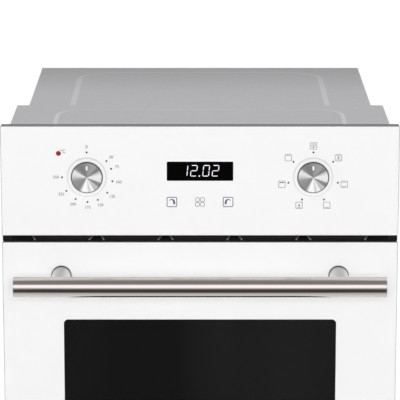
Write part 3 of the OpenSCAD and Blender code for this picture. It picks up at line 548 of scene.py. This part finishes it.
LOOKS = {
    "white_glass": enamel_glass(),
    "black_glass": display_glass(),
    "tinted_glass": smoked_glass(),
    "clear_glass": clear_glass(),
    "galvanised": galvanised("galvanised", 1.0),
    "zinc_steel": coated_steel("zinc_steel", (0.52, 0.53, 0.55), 0.38, 0.9),
    "black_steel": coated_steel("black_steel", (0.030, 0.030, 0.033), 0.35, 0.0),
    "dark_steel": coated_steel("dark_steel", (0.10, 0.099, 0.101), 0.55, 0.0),
    "enamel": vitreous(),
    "brushed_bar": brushed("brushed_bar", (0.695, 0.648, 0.634), 0.10, (0.02, 1, 1), 0.4, 0.06),
    "spun_metal": bright_metal("spun_side", (0.60, 0.60, 0.61), 0.22),
    "white_plastic": plastic("white_plastic", (0.86, 0.86, 0.86), 0.22, Coat_Weight=0.4),
    "black_plastic": plastic("black_plastic", (0.022, 0.022, 0.023), 0.5),
    "cream_plastic": plastic("cream_plastic", (0.62, 0.58, 0.47), 0.5),
    "green_board": circuit_board(),
    "red_lens": lamp_lens(),
    "copper": bright_metal("copper", (0.72, 0.38, 0.24), 0.25),
    "seal": braided_seal(),
    "mineral_fibre": fibre_blanket(),
    "heater": heater_tube(),
    "motor": laminated_core(),
    "chrome": bright_metal("chrome", (0.80, 0.80, 0.815), 0.10),
    "ceramic": plastic("ceramic", (0.78, 0.75, 0.68), 0.2, 300, Coat_Weight=0.6),
    "spring_steel": bright_metal("spring_steel", (0.36, 0.37, 0.39), 0.3),
    "screw_zinc": bright_metal("screw_zinc", (0.62, 0.63, 0.66), 0.24),
    "wire_insulation": plastic("wire_insulation", (0.22, 0.045, 0.04), 0.5, 400),
    "fan_metal": brushed("fan_metal", (0.56, 0.57, 0.58), 0.35, (1, 0.2, 1), 0.2),
}
WINDOW = window_glass()
# Painted highlight: the pressed slopes' zinc sheet, 1.2 times brighter in colour.
SLOPE_HIGHLIGHT = galvanised("pressed_slope_painted_highlight", 1.2)
SHOULDER = coated_steel("knob_shoulder", (0.115, 0.10, 0.085), 0.35, 0.5)
EDGE = glass_edge()
GREY_INK = printed("grey_ink", (0.040, 0.034, 0.085))
SOFT_INK = printed("soft_ink", (0.135, 0.085, 0.145))
BLUE_INK = printed("blue_ink", (0.080, 0.078, 0.145))
WHITE_INK = printed("white_ink", (0.90, 0.90, 0.89))
DIGIT_GLOW = glowing("digit_glow", (0.70, 0.66, 0.74), 0.66)

for part in frame["record"]["subparts"]:
    slots = NODES[part["node"]].data.materials
    slots.clear()
    slots.append(LOOKS[part["material_slot"]])
NODES["control_cover"].data.materials[0] = galvanised("cover_sheet", 0.96)
NODES["handle_posts"].data.materials[0] = post_metal()
NODES["door_top_cap"].data.materials[0] = plastic("cap_plastic", (0.050, 0.044, 0.042), 0.45)
NODES["air_outlet"].data.materials[0] = plastic("outlet_plastic", (0.009, 0.008, 0.008), 0.65,
                                                Specular_IOR_Level=0.2)
# The door's white stays clear of the posts' warm bounce light.
NODES["handle_posts"].visible_diffuse = False


def soften(node, width, angle):
    """Bevels a CAD node's edges that are sharper than angle, so that they catch the light."""
    obj = NODES[node]
    weld = obj.modifiers.new("weld", "WELD")
    weld.merge_threshold = 1e-5
    flat = obj.modifiers.new("flat", "DECIMATE")
    flat.decimate_type = "DISSOLVE"
    flat.angle_limit = math.radians(0.4)
    bevel = obj.modifiers.new("bevel", "BEVEL")
    bevel.width = width * MM
    bevel.segments = 2
    bevel.limit_method = "ANGLE"
    bevel.angle_limit = math.radians(angle)
    bevel.miter_outer = "MITER_ARC"
    shade = obj.modifiers.new("shade", "WEIGHTED_NORMAL")
    shade.keep_sharp = True


def shine_slopes(node):
    """Painted highlight: the drawn slopes of a pressed field get a brighter copy of the zinc sheet than the
    flat sheet and the upright walls.
    """
    steepest, flattest = 0.9, 0.9985
    mesh = NODES[node].data
    mesh.materials.append(SLOPE_HIGHLIGHT)
    for face in mesh.polygons:
        if steepest < face.normal.z < flattest:
            face.material_index = 1


for name in ("control_cover", "top_cover"):
    shine_slopes(name)
    soften(name, 1.2, 10)


# ---------- front glass and prints ----------

def pane(name, box, holes, insert=None):
    """Front glass with finely ground edges: outline from a box, holes as (x, z) loops, and a flush insert."""
    lo, hi = box
    mid, size = (lo + hi) / 2, hi - lo
    grind, corner = 0.5 * MM, 1.5 * MM
    bm = bmesh.new()

    def outline(inset):
        loop = rounded(size.x - 2 * inset, size.z - 2 * inset, corner - inset, 6)
        return moved(loop, mid.x, mid.z)

    def lift(points, y):
        return [(px, FRONT + y, pz) for px, pz in points]

    section = ((grind, 0.0), (0.0, grind), (0.0, GLASS - grind), (grind, GLASS))
    rows = loft(bm, [lift(outline(i), y) for i, y in section], capped=False, slot=2)
    ends = [[rows[0]], [rows[-1]]]
    for hole in holes:
        rows = loft(bm, [lift(hole, 0.0), lift(hole, GLASS)], capped=False, slot=2)
        ends[0].append(rows[0])
        ends[1].append(rows[1])
    if insert:
        for end, y in zip(ends, (0.0, GLASS)):
            edge = [bm.verts.new(p) for p in lift(insert, y)]
            bm.faces.new(edge).material_index = 1
            end.append(edge)
    for end in ends:
        edges = []
        for row in end:
            for i, v in enumerate(row):
                other = row[(i + 1) % len(row)]
                edges.append(bm.edges.get((v, other)) or bm.edges.new((v, other)))
        made = bmesh.ops.triangle_fill(bm, use_beauty=True, use_dissolve=False, edges=edges)
        for face in made["geom"]:
            if isinstance(face, bmesh.types.BMFace):
                face.material_index = 0
    return new_object(name, bm, [LOOKS["white_glass"], WINDOW, EDGE], 15)


def front_panes():
    """The control panel's glass with its openings, and the door's glass with its flush dark window."""
    sleeve_hole_r, lamp_hole_r = 19.7 * MM, 2.8 * MM
    holes = []
    for node, r, steps in (("temperature_knob", sleeve_hole_r, 96), ("function_knob", sleeve_hole_r, 96),
                           ("pilot_lamp", lamp_hole_r, 40)):
        holes.append(moved(circle(r, steps), centre(node).x, centre(node).z))
    display, gap = centre("display_lens"), 0.1 * MM
    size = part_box("display_lens")[1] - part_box("display_lens")[0]
    holes.append(moved(rounded(size.x + 2 * gap, size.z + 2 * gap, 1.1 * MM), display.x, display.z))
    obj = pane("panel_front_glass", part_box("panel_glass"), holes)
    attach(obj, "root")
    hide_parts("panel_glass")

    screw_hole_r = 3 * MM
    holes = [moved(circle(screw_hole_r, 24), s * POST_X, centre("handle_bar").z) for s in (-1, 1)]
    low, high, wide, corner = 98 * MM, 371.7 * MM, 309 * MM, 5 * MM
    window = moved(rounded(wide, high - low, corner), 0, (low + high) / 2)
    obj = pane("door_front_glass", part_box("door_glass"), holes, window)
    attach(obj, "door")
    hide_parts("door_glass")


def print_object(name, bm, mats):
    """A flat print on the front, given a little thickness."""
    obj = new_object(name, bm, mats)
    film = obj.modifiers.new("print", "SOLIDIFY")
    film.thickness = PRINT_DEPTH
    film.offset = 0
    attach(obj, "root")


def clock_digits():
    """Slanted seven-segment figures with a decimal point."""
    segments = {"0": "abcdef", "1": "bc", "2": "abged"}
    mid = centre("display_lens")
    high, wide, thick, lean = 13.0 * MM, 7.5 * MM, 0.85 * MM, 0.10
    gap = 0.6 * MM
    base = mid.z + 0.6 * MM
    y = FRONT - 0.05 * MM
    bm = bmesh.new()

    def bar(x, z, length, upright):
        """One segment with pointed ends."""
        end, tip = length / 2, thick / 2
        flat = [(-end, 0), (-end + tip, tip), (end - tip, tip),
                (end, 0), (end - tip, -tip), (-end + tip, -tip)]
        outline = moved(flat, x, z, math.pi / 2 if upright else 0)
        patch(bm, [(mid.x + px + lean * pz, base + pz) for px, pz in outline], y)

    side, level = (wide - thick) / 2, (high - thick) / 2
    places = {"a": (0, level, 0), "g": (0, 0, 0), "d": (0, -level, 0), "b": (side, level / 2, 1),
              "c": (side, -level / 2, 1), "f": (-side, level / 2, 1), "e": (-side, -level / 2, 1)}
    for figure, x in (("1", -17.4), ("2", -6.8), ("0", 6.9), ("2", 17.4)):
        for key in segments[figure]:
            sx, sz, upright = places[key]
            bar(x * MM + sx, sz, (level if upright else wide - thick) - gap, upright)
    dot_r, dot_x = 0.8 * MM, mid.x - 0.2 * MM
    patch(bm, moved(circle(dot_r, 16), dot_x - lean * level, base - level), y)
    print_object("clock_digits", bm, [DIGIT_GLOW])


def touch_icons():
    """Three touch marks: two frames with a bent arrow, and four small rounded frames between them."""
    pitch, z = 31.5 * MM, 508.3 * MM
    size, corner, line = 10.9 * MM, 1.3 * MM, 0.85 * MM
    small, small_corner, small_line, small_at = 4.5 * MM, 1.6 * MM, 0.55 * MM, 2.8 * MM
    arrow = [(-3.0, 1.7), (-2.3, 2.6), (-1.2, 3.3), (0.0, 3.5), (1.2, 3.3), (2.3, 2.6), (3.1, 1.6),
             (3.6, 0.3), (3.7, -1.2), (3.5, -3.2), (2.2, -2.1), (0.7, -2.2), (1.6, -1.2), (1.5, -0.2),
             (1.1, 1.0), (0.4, 2.0), (-0.6, 2.5), (-1.5, 2.3), (-2.2, 1.7), (-2.6, 1.2)]
    bm = bmesh.new()
    for s in (-1, 1):
        ribbon(bm, moved(rounded(size, size, corner), s * pitch, z), line, True, 0)
        patch(bm, [(s * pitch - s * px * MM, z + pz * MM) for px, pz in arrow])
    for sx in (-1, 1):
        for sz in (-1, 1):
            outline = moved(rounded(small, small, small_corner), sx * small_at, z + sz * small_at)
            ribbon(bm, outline, small_line, True, 1)
    print_object("touch_icons", bm, [BLUE_INK, SOFT_INK])


def dial_dots(bm, knob, angles, uneven):
    """Dots round a knob; angles are clockwise from the top. An uneven ring sits a little to the right."""
    mid = centre(knob)
    ring_r, dot_r = 28.4, 1.1 * MM
    for angle in angles:
        a = math.radians(angle)
        r = (ring_r + uneven * math.sin(a)) * MM
        patch(bm, moved(circle(dot_r, 20), mid.x + r * math.sin(a), mid.z + r * math.cos(a)))


def scale_number(text, x, z, height):
    """One printed number on the glass, upright, centred on (x, z), with figures of the given height."""
    size_for_height, boldness = 1.38, 0.02 * MM
    curve = bpy.data.curves.new("number_" + text, "FONT")
    curve.body = text
    curve.align_x = "CENTER"
    curve.align_y = "CENTER"
    curve.size = height * size_for_height
    curve.offset = boldness
    curve.extrude = PRINT_DEPTH / 2
    curve.materials.append(SOFT_INK)
    obj = bpy.data.objects.new("number_" + text.replace("°", "degree_"), curve)
    obj.matrix_world = Matrix.Translation((x, PRINT_Y, z)) @ Matrix.Rotation(math.pi / 2, 4, "X")
    bpy.context.scene.collection.objects.link(obj)
    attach(obj, "root")


def temperature_marks():
    """Dots and numbers round the temperature knob, at slightly uneven angles clockwise from the top.
    The numbers stand a little wider at the sides."""
    scale = {0: 0, 50: 50, 75: 70.5, 100: 99, 125: 128, 150: 155, 175: 179, 200: 207, 225: 236, 250: 270}
    ring_r, figure, zero_figure = 34.7, 3.3 * MM, 3.8 * MM
    bm = bmesh.new()
    dial_dots(bm, "temperature_knob", scale.values(), 0.6)
    print_object("temperature_dots", bm, [GREY_INK])
    mid = centre("temperature_knob")
    for value, angle in scale.items():
        a = math.radians(angle)
        r = (ring_r + 0.7 * abs(math.sin(a)) + 0.6 * math.sin(a)) * MM
        height = figure if value else zero_figure
        scale_number(str(value), mid.x + r * math.sin(a), mid.z + r * math.cos(a), height)
    lamp = centre("pilot_lamp")
    scale_number("°C", lamp.x + 4.9 * MM, lamp.z + 2.1 * MM, 4.2 * MM)


def function_marks():
    """Dots and cooking symbols round the function knob."""
    places, ring_r = 7, 35.8 * MM
    size, line = 7.3 * MM, 0.48 * MM
    h = size / 2
    heater, heater_at = 0.66, 0.64
    bm = bmesh.new()
    dial_dots(bm, "function_knob", [360 * k / places for k in range(places)], 0.0)

    def stroke(x, z, points, thick=1.0):
        """A line through points that are counted in half frames from (x, z)."""
        ribbon(bm, [(x + h * px, z + h * pz) for px, pz in points], line * thick, False, 1)

    def fan(x, z, r):
        """Three blades on a hub."""
        for k in range(3):
            blade = moved(rounded(r * 0.62, r * 1.0, r * 0.28, 4), 0, r * 0.52)
            patch(bm, moved(blade, x, z, math.radians(120 * k)), slot=1)
        patch(bm, moved(circle(r * 0.2, 12), x, z), slot=1)

    def lamp(x, z):
        """A bulb with its filament and foot."""
        ribbon(bm, moved(circle(h * 0.56, 24), x, z + h * 0.12), line * 0.9, True, 1)
        stroke(x, z, [(-0.2, -0.62), (0.2, -0.62)])
        stroke(x, z, [(0, 0.02), (0, -0.42)], 0.8)
        for s in (-1, 1):
            stroke(x, z, [(0, 0.02), (s * 0.3, 0.42)], 0.8)

    def symbol(k, x, z):
        """The frame at place k, clockwise from the top, with a lamp, heater lines, a fan or a grill in it."""
        corner = (1.4 if k in (1, 6) else 0.5) * MM
        ribbon(bm, moved(rounded(size, size, corner, 4), x, z), line, True, 1)
        if k == 0:
            lamp(x, z)
        if k in (1, 4):
            fan(x, z, h * 0.42)
        if k in (1, 2):
            stroke(x, z, [(-heater, heater_at), (heater, heater_at)])
        if k in (1, 2, 3, 4):
            stroke(x, z, [(-heater, -heater_at), (heater, -heater_at)])
        if k == 5:
            stroke(x, z, [(-0.7, 0.52), (0.7, 0.52)], 1.9)
        if k == 6:
            for at in (-0.56, -0.28, 0, 0.28, 0.56):
                stroke(x, z, [(at - 0.08, 0.68), (at + 0.08, 0.68)], 1.6)

    mid = centre("function_knob")
    for k in range(places):
        a = math.radians(360 * k / places)
        symbol(k, mid.x + ring_r * math.sin(a), mid.z + ring_r * math.cos(a))
    print_object("function_marks", bm, [GREY_INK, SOFT_INK])


# ---------- knobs, lamp, handle ----------

def knob(name, node):
    """Cup knob with a spun face, a dark shoulder and a white pointer let into the face."""
    mid = centre(node)
    back = (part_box(node)[1].y - FRONT) / MM
    r = (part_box(node)[1].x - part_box(node)[0].x) / 2 / MM
    rim, cup, hub, bore = r - 0.75, r - 1.6, 6.5, 3.05
    skirt = 18
    face = [(0, -2.76), (4, -2.80), (8, -2.86), (12, -2.93), (rim, -2.99)]
    shoulder = [(rim, -2.99), (rim + 0.2, -2.93), (rim + 0.5, -2.66), (r, -2.0), (r, -1.2)]
    body = [(r, -1.2), (r, skirt), (cup, skirt), (cup, 0), (hub, 0), (hub, back), (bore, back), (bore, -0.8),
            (0, -0.8)]
    bm = bmesh.new()
    for slot, profile in ((0, face), (1, shoulder), (3, body)):
        turned(bm, mid.x, mid.z, from_front(profile), 128, slot)
    bmesh.ops.remove_doubles(bm, verts=bm.verts, dist=1e-7)
    mark_w, mark_h, mark_at = 1.9 * MM, 4.8 * MM, 10.9 * MM
    mark = moved(rounded(mark_w, mark_h, 0.3 * MM, 4), mid.x, mid.z + mark_at)
    loft(bm, [[(px, FRONT + y * MM, pz) for px, pz in mark] for y in (-2.7, -3.04)], slot=2)
    spun = spun_face(name + "_face", mid.x, mid.z)
    obj = new_object(name, bm, [spun, SHOULDER, WHITE_INK, LOOKS["spun_metal"]], 32)
    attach(obj, node)
    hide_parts(node)


def bezels():
    """White rings round the knobs, each on a foot coloured grey as painted shade where the ring meets the
    glass, with the sleeve behind.
    """
    foot = [(22.5, 0.0), (22.4, -0.3), (21.9, -0.52), (21.1, -0.72)]
    ring = [(21.1, -0.72), (20.5, -0.98), (19.8, -1.26), (19.1, -1.43), (18.5, -1.48), (18.0, -1.42),
            (17.8, -1.2)]
    sleeve = [(17.8, -1.2), (17.8, -0.2), (18.0, 0.4), (18.0, 24.5), (9.5, 24.5), (9.5, 26), (19.2, 26),
              (19.2, 0), (22.5, 0.0)]
    bm = bmesh.new()
    for node in ("temperature_knob", "function_knob"):
        mid = centre(node)
        for slot, profile in ((1, foot), (0, ring), (2, sleeve)):
            turned(bm, mid.x, mid.z, from_front(profile), 128, slot)
    bmesh.ops.remove_doubles(bm, verts=bm.verts, dist=1e-7)
    # Painted shade: the foot's grey stands in for the shadow round the ring's edge.
    shade_foot_look = plastic("foot_painted_shade", (0.68, 0.68, 0.68), 0.5)
    dark = plastic("dark_sleeve", (0.05, 0.05, 0.05), 0.5)
    obj = new_object("bezel_rings", bm, [LOOKS["white_plastic"], shade_foot_look, dark], 30)
    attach(obj, "root")
    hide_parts("knob_bezels")


def vent_lips():
    """Burrs round the five vents in the door's top cap, coloured as painted glints: bright at the slanted
    ends, dim along the front.
    """
    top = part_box("door_top_cap")[1].z
    pitch = 78 * MM
    mouth = ((-34.3, 25), (-31.5, 10.9), (31.5, 10.9), (34.3, 25))
    end_glint_burr, front_glint_burr = (0, 1.3, 0.9), (1, 1.4, 0.1)
    bm = bmesh.new()
    for i in range(-2, 3):
        corners = [Vector((i * pitch + x * MM, FRONT + y * MM)) for x, y in mouth]
        for a, b, (slot, width, height) in zip(corners, corners[1:], (end_glint_burr, front_glint_burr, end_glint_burr)):
            across = Vector((b.y - a.y, a.x - b.x)).normalized() * width * MM
            ridge = (a, b, b - across, a - across)
            loft(bm, [[(p.x, p.y, top + rise * MM) for p in ridge] for rise in (-0.3, height)], slot=slot)
    # Painted glints: the burrs' light colours stand in for highlights on the vents' edges.
    bright = coated_steel("lip_painted_glint", (0.92, 0.88, 0.84), 0.4, 0.0)
    dull = coated_steel("lip_dim_painted_glint", (0.10, 0.075, 0.065), 0.5, 0.0)
    obj = new_object("vent_lips", bm, [bright, dull], 30)
    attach(obj, "door")


def pilot_lens():
    """Domed red lens with its collar behind the glass."""
    mid = centre("pilot_lamp")
    profile = [(0, -1.1), (0.7, -1.04), (1.4, -0.86), (2.0, -0.52), (2.45, -0.1), (2.7, 0.3), (2.7, 5.4),
               (4.2, 5.4), (4.2, 24), (0, 24)]
    bm = bmesh.new()
    turned(bm, mid.x, mid.z, from_front(profile), 48)
    obj = new_object("pilot_lens", bm, [LOOKS["red_lens"]])
    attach(obj, "root")
    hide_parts("pilot_lamp")


def post_washers():
    """Soft black rings that the posts press against the glass."""
    profile = [(10.9, 0), (11.3, -0.1), (11.4, -0.5), (11.2, -0.85), (10.85, -0.95), (10.55, -0.9)]
    bm = bmesh.new()
    for s in (-1, 1):
        turned(bm, s * POST_X, centre("handle_posts").z, from_front(profile), 96)
    obj = new_object("post_washers", bm, [plastic("washer_black", (0.02, 0.02, 0.02), 0.6)])
    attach(obj, "door")


def bar_handle():
    """Round bar with softly broken end edges. Its dark bands throw no bounce light on the white door."""
    lo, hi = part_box("handle_bar")
    mid = centre("handle_bar")
    r = (hi.z - lo.z) / 2
    ease = 0.8 * MM
    section = [(lo.x, r - ease), (lo.x + ease * 0.3, r - ease * 0.3), (lo.x + ease, r), (hi.x - ease, r),
               (hi.x - ease * 0.3, r - ease * 0.3), (hi.x, r - ease)]
    bm = bmesh.new()
    loft(bm, [[(x, mid.y + a, mid.z + b) for a, b in circle(radius, 128)] for x, radius in section])
    obj = new_object("bar", bm, [LOOKS["brushed_bar"]], 50)
    obj.visible_diffuse = False
    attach(obj, "door")
    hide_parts("handle_bar")


# ---------- springs, seal, tray, screws ----------

def wound_springs(name, node, side, axis, turns, wire):
    """Springs of round wire along Y (1) or Z (2), on one side of the middle or, with side 0, on both.
    Each runs the length of its CAD spring, between the two bodies that it pushes apart."""
    around = 24
    bm = bmesh.new()
    for a, b in islands(node):
        if side * a.x < 0:
            continue
        mid = (a + b) / 2
        coil = (b.x - a.x) / 2 - wire
        run = b[axis] - a[axis] - 2 * wire
        loops = []
        for i in range(around * turns + 1):
            angle = 2 * math.pi * i / around
            loop = []
            for px, pz in circle(wire, 8):
                point = [mid.x + (coil + px) * math.cos(angle), (coil + px) * math.sin(angle)]
                point[1] += mid.z if axis == 1 else mid.y
                point.insert(axis, a[axis] + wire + run * i / (around * turns) + pz)
                loop.append(point)
            loops.append(loop)
        loft(bm, loops)
        start, end = Vector(mid), Vector(mid)
        start[axis], end[axis] = a[axis], b[axis]
    obj = new_object(name, bm, [LOOKS["spring_steel"]], 60)
    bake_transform(obj)
    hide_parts(node)


def bead_seal():
    """Bulb seal on a flat foot, run round the cavity mouth."""
    lo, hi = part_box("door_seal")
    mid = centre("door_seal")
    wide, deep, corner = 8 * MM, hi.y - lo.y, 21 * MM
    outline = rounded(hi.x - lo.x - wide, hi.z - lo.z - wide, corner, 14)
    count = len(outline)
    bulb = [(-0.40 * math.cos(a), 0.42 - 0.42 * math.sin(a) * 0.98)
            for a in [math.pi * k / 12 for k in range(13)]]
    foot = [(0.34, 0.62), (0.5, 0.78), (0.5, 1.0)]
    section = [(-u, v) for u, v in reversed(foot)] + bulb + foot
    rows = []
    for i, (px, pz) in enumerate(outline):
        before, after = Vector(outline[i - 1]), Vector(outline[(i + 1) % count])
        along = (after - before).normalized()
        out = Vector((along.y, -along.x))
        rows.append([(mid.x + px + out.x * u * wide, lo.y + v * deep, mid.z + pz + out.y * u * wide)
                     for u, v in section])
    bm = bmesh.new()
    loft(bm, rows, ring=True)
    obj = new_object("bead_seal", bm, [LOOKS["seal"]], 50)
    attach(obj, "root")
    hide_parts("door_seal")


def pressed_tray():
    """Enamelled tray with a rolled rim and rounded bottom edges."""
    lo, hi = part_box("baking_tray")
    mid = centre("baking_tray")
    corner = 22.0
    outside = [(12.0, 0.0), (8.2, 1.2), (6.0, 4.0), (5.3, 8.0), (5.3, 29.2), (4.4, 30.0)]
    rim = [(3.2, 30.0), (0.6, 30.0), (0.0, 30.5), (0.6, 31.0), (3.4, 31.0), (5.4, 30.7), (6.3, 29.2)]
    inside = [(6.3, 8.6), (7.0, 4.8), (9.0, 2.0), (12.6, 0.9)]
    rows = []
    for inset, z in outside + rim + inside:
        edge = 2 * inset * MM
        outline = rounded(hi.x - lo.x - edge, hi.y - lo.y - edge, (corner - inset) * MM)
        rows.append([(mid.x + px, mid.y + py, lo.z + z * MM) for px, py in outline])
    bm = bmesh.new()
    loft(bm, rows)
    obj = new_object("pressed_tray", bm, [LOOKS["enamel"]], 40)
    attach(obj, "baking_tray")
    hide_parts("baking_tray")


def cross_screws():
    """Pan-head screws with a cross recess, one for each screw of the casing."""
    slit, reach = 0.35, 1.6
    shank_r, shank, head_r, head = 1.5, 8, 3.4, 1.95
    corners = []
    for k in range(4):
        corners += moved([(slit, reach), (-slit, reach), (-slit, slit)], 0, 0, k * math.pi / 2)
    cross = []
    for p, q in zip(corners, corners[1:] + corners[:1]):
        cross += [p, ((p[0] + q[0]) / 2, (p[1] + q[1]) / 2)]
    ring = [(px / math.hypot(px, pz), pz / math.hypot(px, pz)) for px, pz in cross]
    levels = ((ring, shank_r, -shank - head), (ring, shank_r, -head), (ring, head_r, -head),
              (ring, 3.38, -head * 0.62), (ring, 3.0, -head * 0.28), (ring, 2.3, -0.08),
              (cross, 1.0, 0.0), (cross, 0.72, -1.1))
    upright = Matrix.Rotation(-math.pi / 2, 4, "X")
    bm = bmesh.new()
    for lo, hi in islands("casing_screws"):
        place = Matrix.Translation(((lo.x + hi.x) / 2, hi.y, (lo.z + hi.z) / 2)) @ upright
        loft(bm, [[place @ (Vector((px * scale, pz * scale, z)) * MM) for px, pz in points]
                  for points, scale, z in levels])
    obj = new_object("cross_screws", bm, [LOOKS["screw_zinc"]], 30)
    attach(obj, "root")
    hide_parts("casing_screws")


# ---------- stage ----------

def stage_floor():
    """Pale floor, level under the oven, that sinks gently in front to leave room for the open door."""
    reach, drop, steps = 14.0, 0.10, 24
    start, end = FRONT + 0.02, FRONT - 0.34
    rows = [(reach, 0.0)]
    for i in range(steps + 1):
        t = i / steps
        rows.append((start + (end - start) * t, -drop * t * t * (3 - 2 * t)))
    rows.append((-reach, -drop))
    bm = bmesh.new()
    left, right = [[bm.verts.new((x, y, z)) for y, z in rows] for x in (-reach, reach)]
    for i in range(len(rows) - 1):
        bm.faces.new((left[i], right[i], right[i + 1], left[i + 1]))
    obj = new_object("studio_floor", bm, [studio_floor()])
    obj.visible_glossy = False


def studio_world():
    """White surroundings for the camera and an even grey for diffuse light. Shiny pieces reflect bands that
    run across the oven's width: 0 degrees lies ahead, 90 overhead, 180 behind. Aside they fade to grey."""
    stops = ((-180, 0.80), (-90, 0.85), (-72, 0.66), (-58, 0.54), (-47, 0.06), (-14, 0.07), (-10, 0.24),
             (-4, 0.42), (2, 0.80), (5, 0.90), (11, 1.45), (34, 1.35), (42, 0.55), (52, 0.26), (88, 0.26),
             (98, 0.50), (104, 0.62), (115, 0.76), (130, 0.76), (150, 0.64), (180, 0.60))
    aside, soft, white = (0.88, 0.88, 0.88), (0.38, 0.38, 0.38), (1, 1, 1)
    world = bpy.data.worlds.new("studio")
    bpy.context.scene.world = world
    world.use_nodes = True
    sky = Nodes(world.node_tree)

    def shade(value):
        warm = 0.06 if value < 0.6 else 0.0
        return value * (1 + warm), value, value * (1 - warm)

    looking = sky.node("ShaderNodeTexCoord").outputs["Generated"]
    x, y, z = sky.node("ShaderNodeSeparateXYZ", {0: looking}).outputs
    height = sky.math("ARCTAN2", z, sky.math("MULTIPLY", y, -1.0))
    bands = sky.ramp(sky.math("ADD", sky.math("DIVIDE", height, 2 * math.pi), 0.5), stops, shade)
    off = sky.math("MULTIPLY", sky.math("ABSOLUTE", x), sky.spread(y, 0.0, 0.4, 1.0, 2.6))
    shown = sky.mix(sky.spread(off, 0.42, 0.68, interpolation_type="SMOOTHSTEP"), bands, aside)
    path = sky.node("ShaderNodeLightPath").outputs
    for ray, color in (("Is Diffuse Ray", soft), ("Is Camera Ray", white)):
        shown = sky.mix(path[ray], shown, color)
    sky.tree.links.new(shown, sky.tree.nodes["Background"].inputs[0])


def soft_light(name, place, aim, size, watts):
    """Soft box that lights the scene without being seen or reflected."""
    data = bpy.data.lights.new(name, "AREA")
    data.shape = "RECTANGLE"
    data.size, data.size_y = size
    data.energy = watts
    obj = bpy.data.objects.new(name, data)
    obj.location = place
    obj.rotation_euler = (Vector(aim) - Vector(place)).to_track_quat("-Z", "Y").to_euler()
    obj.visible_glossy = False
    obj.visible_transmission = False
    obj.visible_camera = False
    bpy.context.scene.collection.objects.link(obj)


def soft_sun(name, turn, spread, strength):
    """Wide, soft light from one direction that isn't reflected."""
    data = bpy.data.lights.new(name, "SUN")
    data.angle = math.radians(spread)
    data.energy = strength
    obj = bpy.data.objects.new(name, data)
    obj.rotation_euler = [math.radians(a) for a in turn]
    obj.visible_glossy = False
    obj.visible_transmission = False
    bpy.context.scene.collection.objects.link(obj)


def camera():
    """Long lens, well back from the front plane and looking down a little."""
    distance, height, tilt = 2.8, 1.1452, 12.77
    data = bpy.data.cameras.new("camera")
    data.sensor_width = 36
    data.lens = 230.2
    data.clip_end = 100
    obj = bpy.data.objects.new("camera", data)
    obj.location = (0, FRONT - distance, height)
    obj.rotation_euler = (math.radians(90 - tilt), 0, 0)
    bpy.context.scene.collection.objects.link(obj)
    bpy.context.scene.camera = obj


front_panes()
bezels()
vent_lips()
clock_digits()
touch_icons()
temperature_marks()
function_marks()
for use in ("temperature", "function"):
    knob(use + "_knob_turned", use + "_knob")
pilot_lens()
post_washers()
bar_handle()
wound_springs("hinge_coils", "hinge_springs", side=0, axis=2, turns=14, wire=0.8 * MM)
for use, side in (("temperature", -1), ("function", 1)):
    wound_springs(use + "_coil", "knob_springs", side, axis=1, turns=6, wire=0.5 * MM)
bead_seal()
pressed_tray()
cross_screws()
stage_floor()
studio_world()
soft_sun("overhead", turn=(-4, 0, 0), spread=16, strength=2.3)
soft_light("front_key", place=(0, -3.7, 1.35), aim=(0, FRONT, 0.45), size=(1.3, 0.9), watts=42)
camera()
bpy.context.scene.view_settings.view_transform = "Standard"
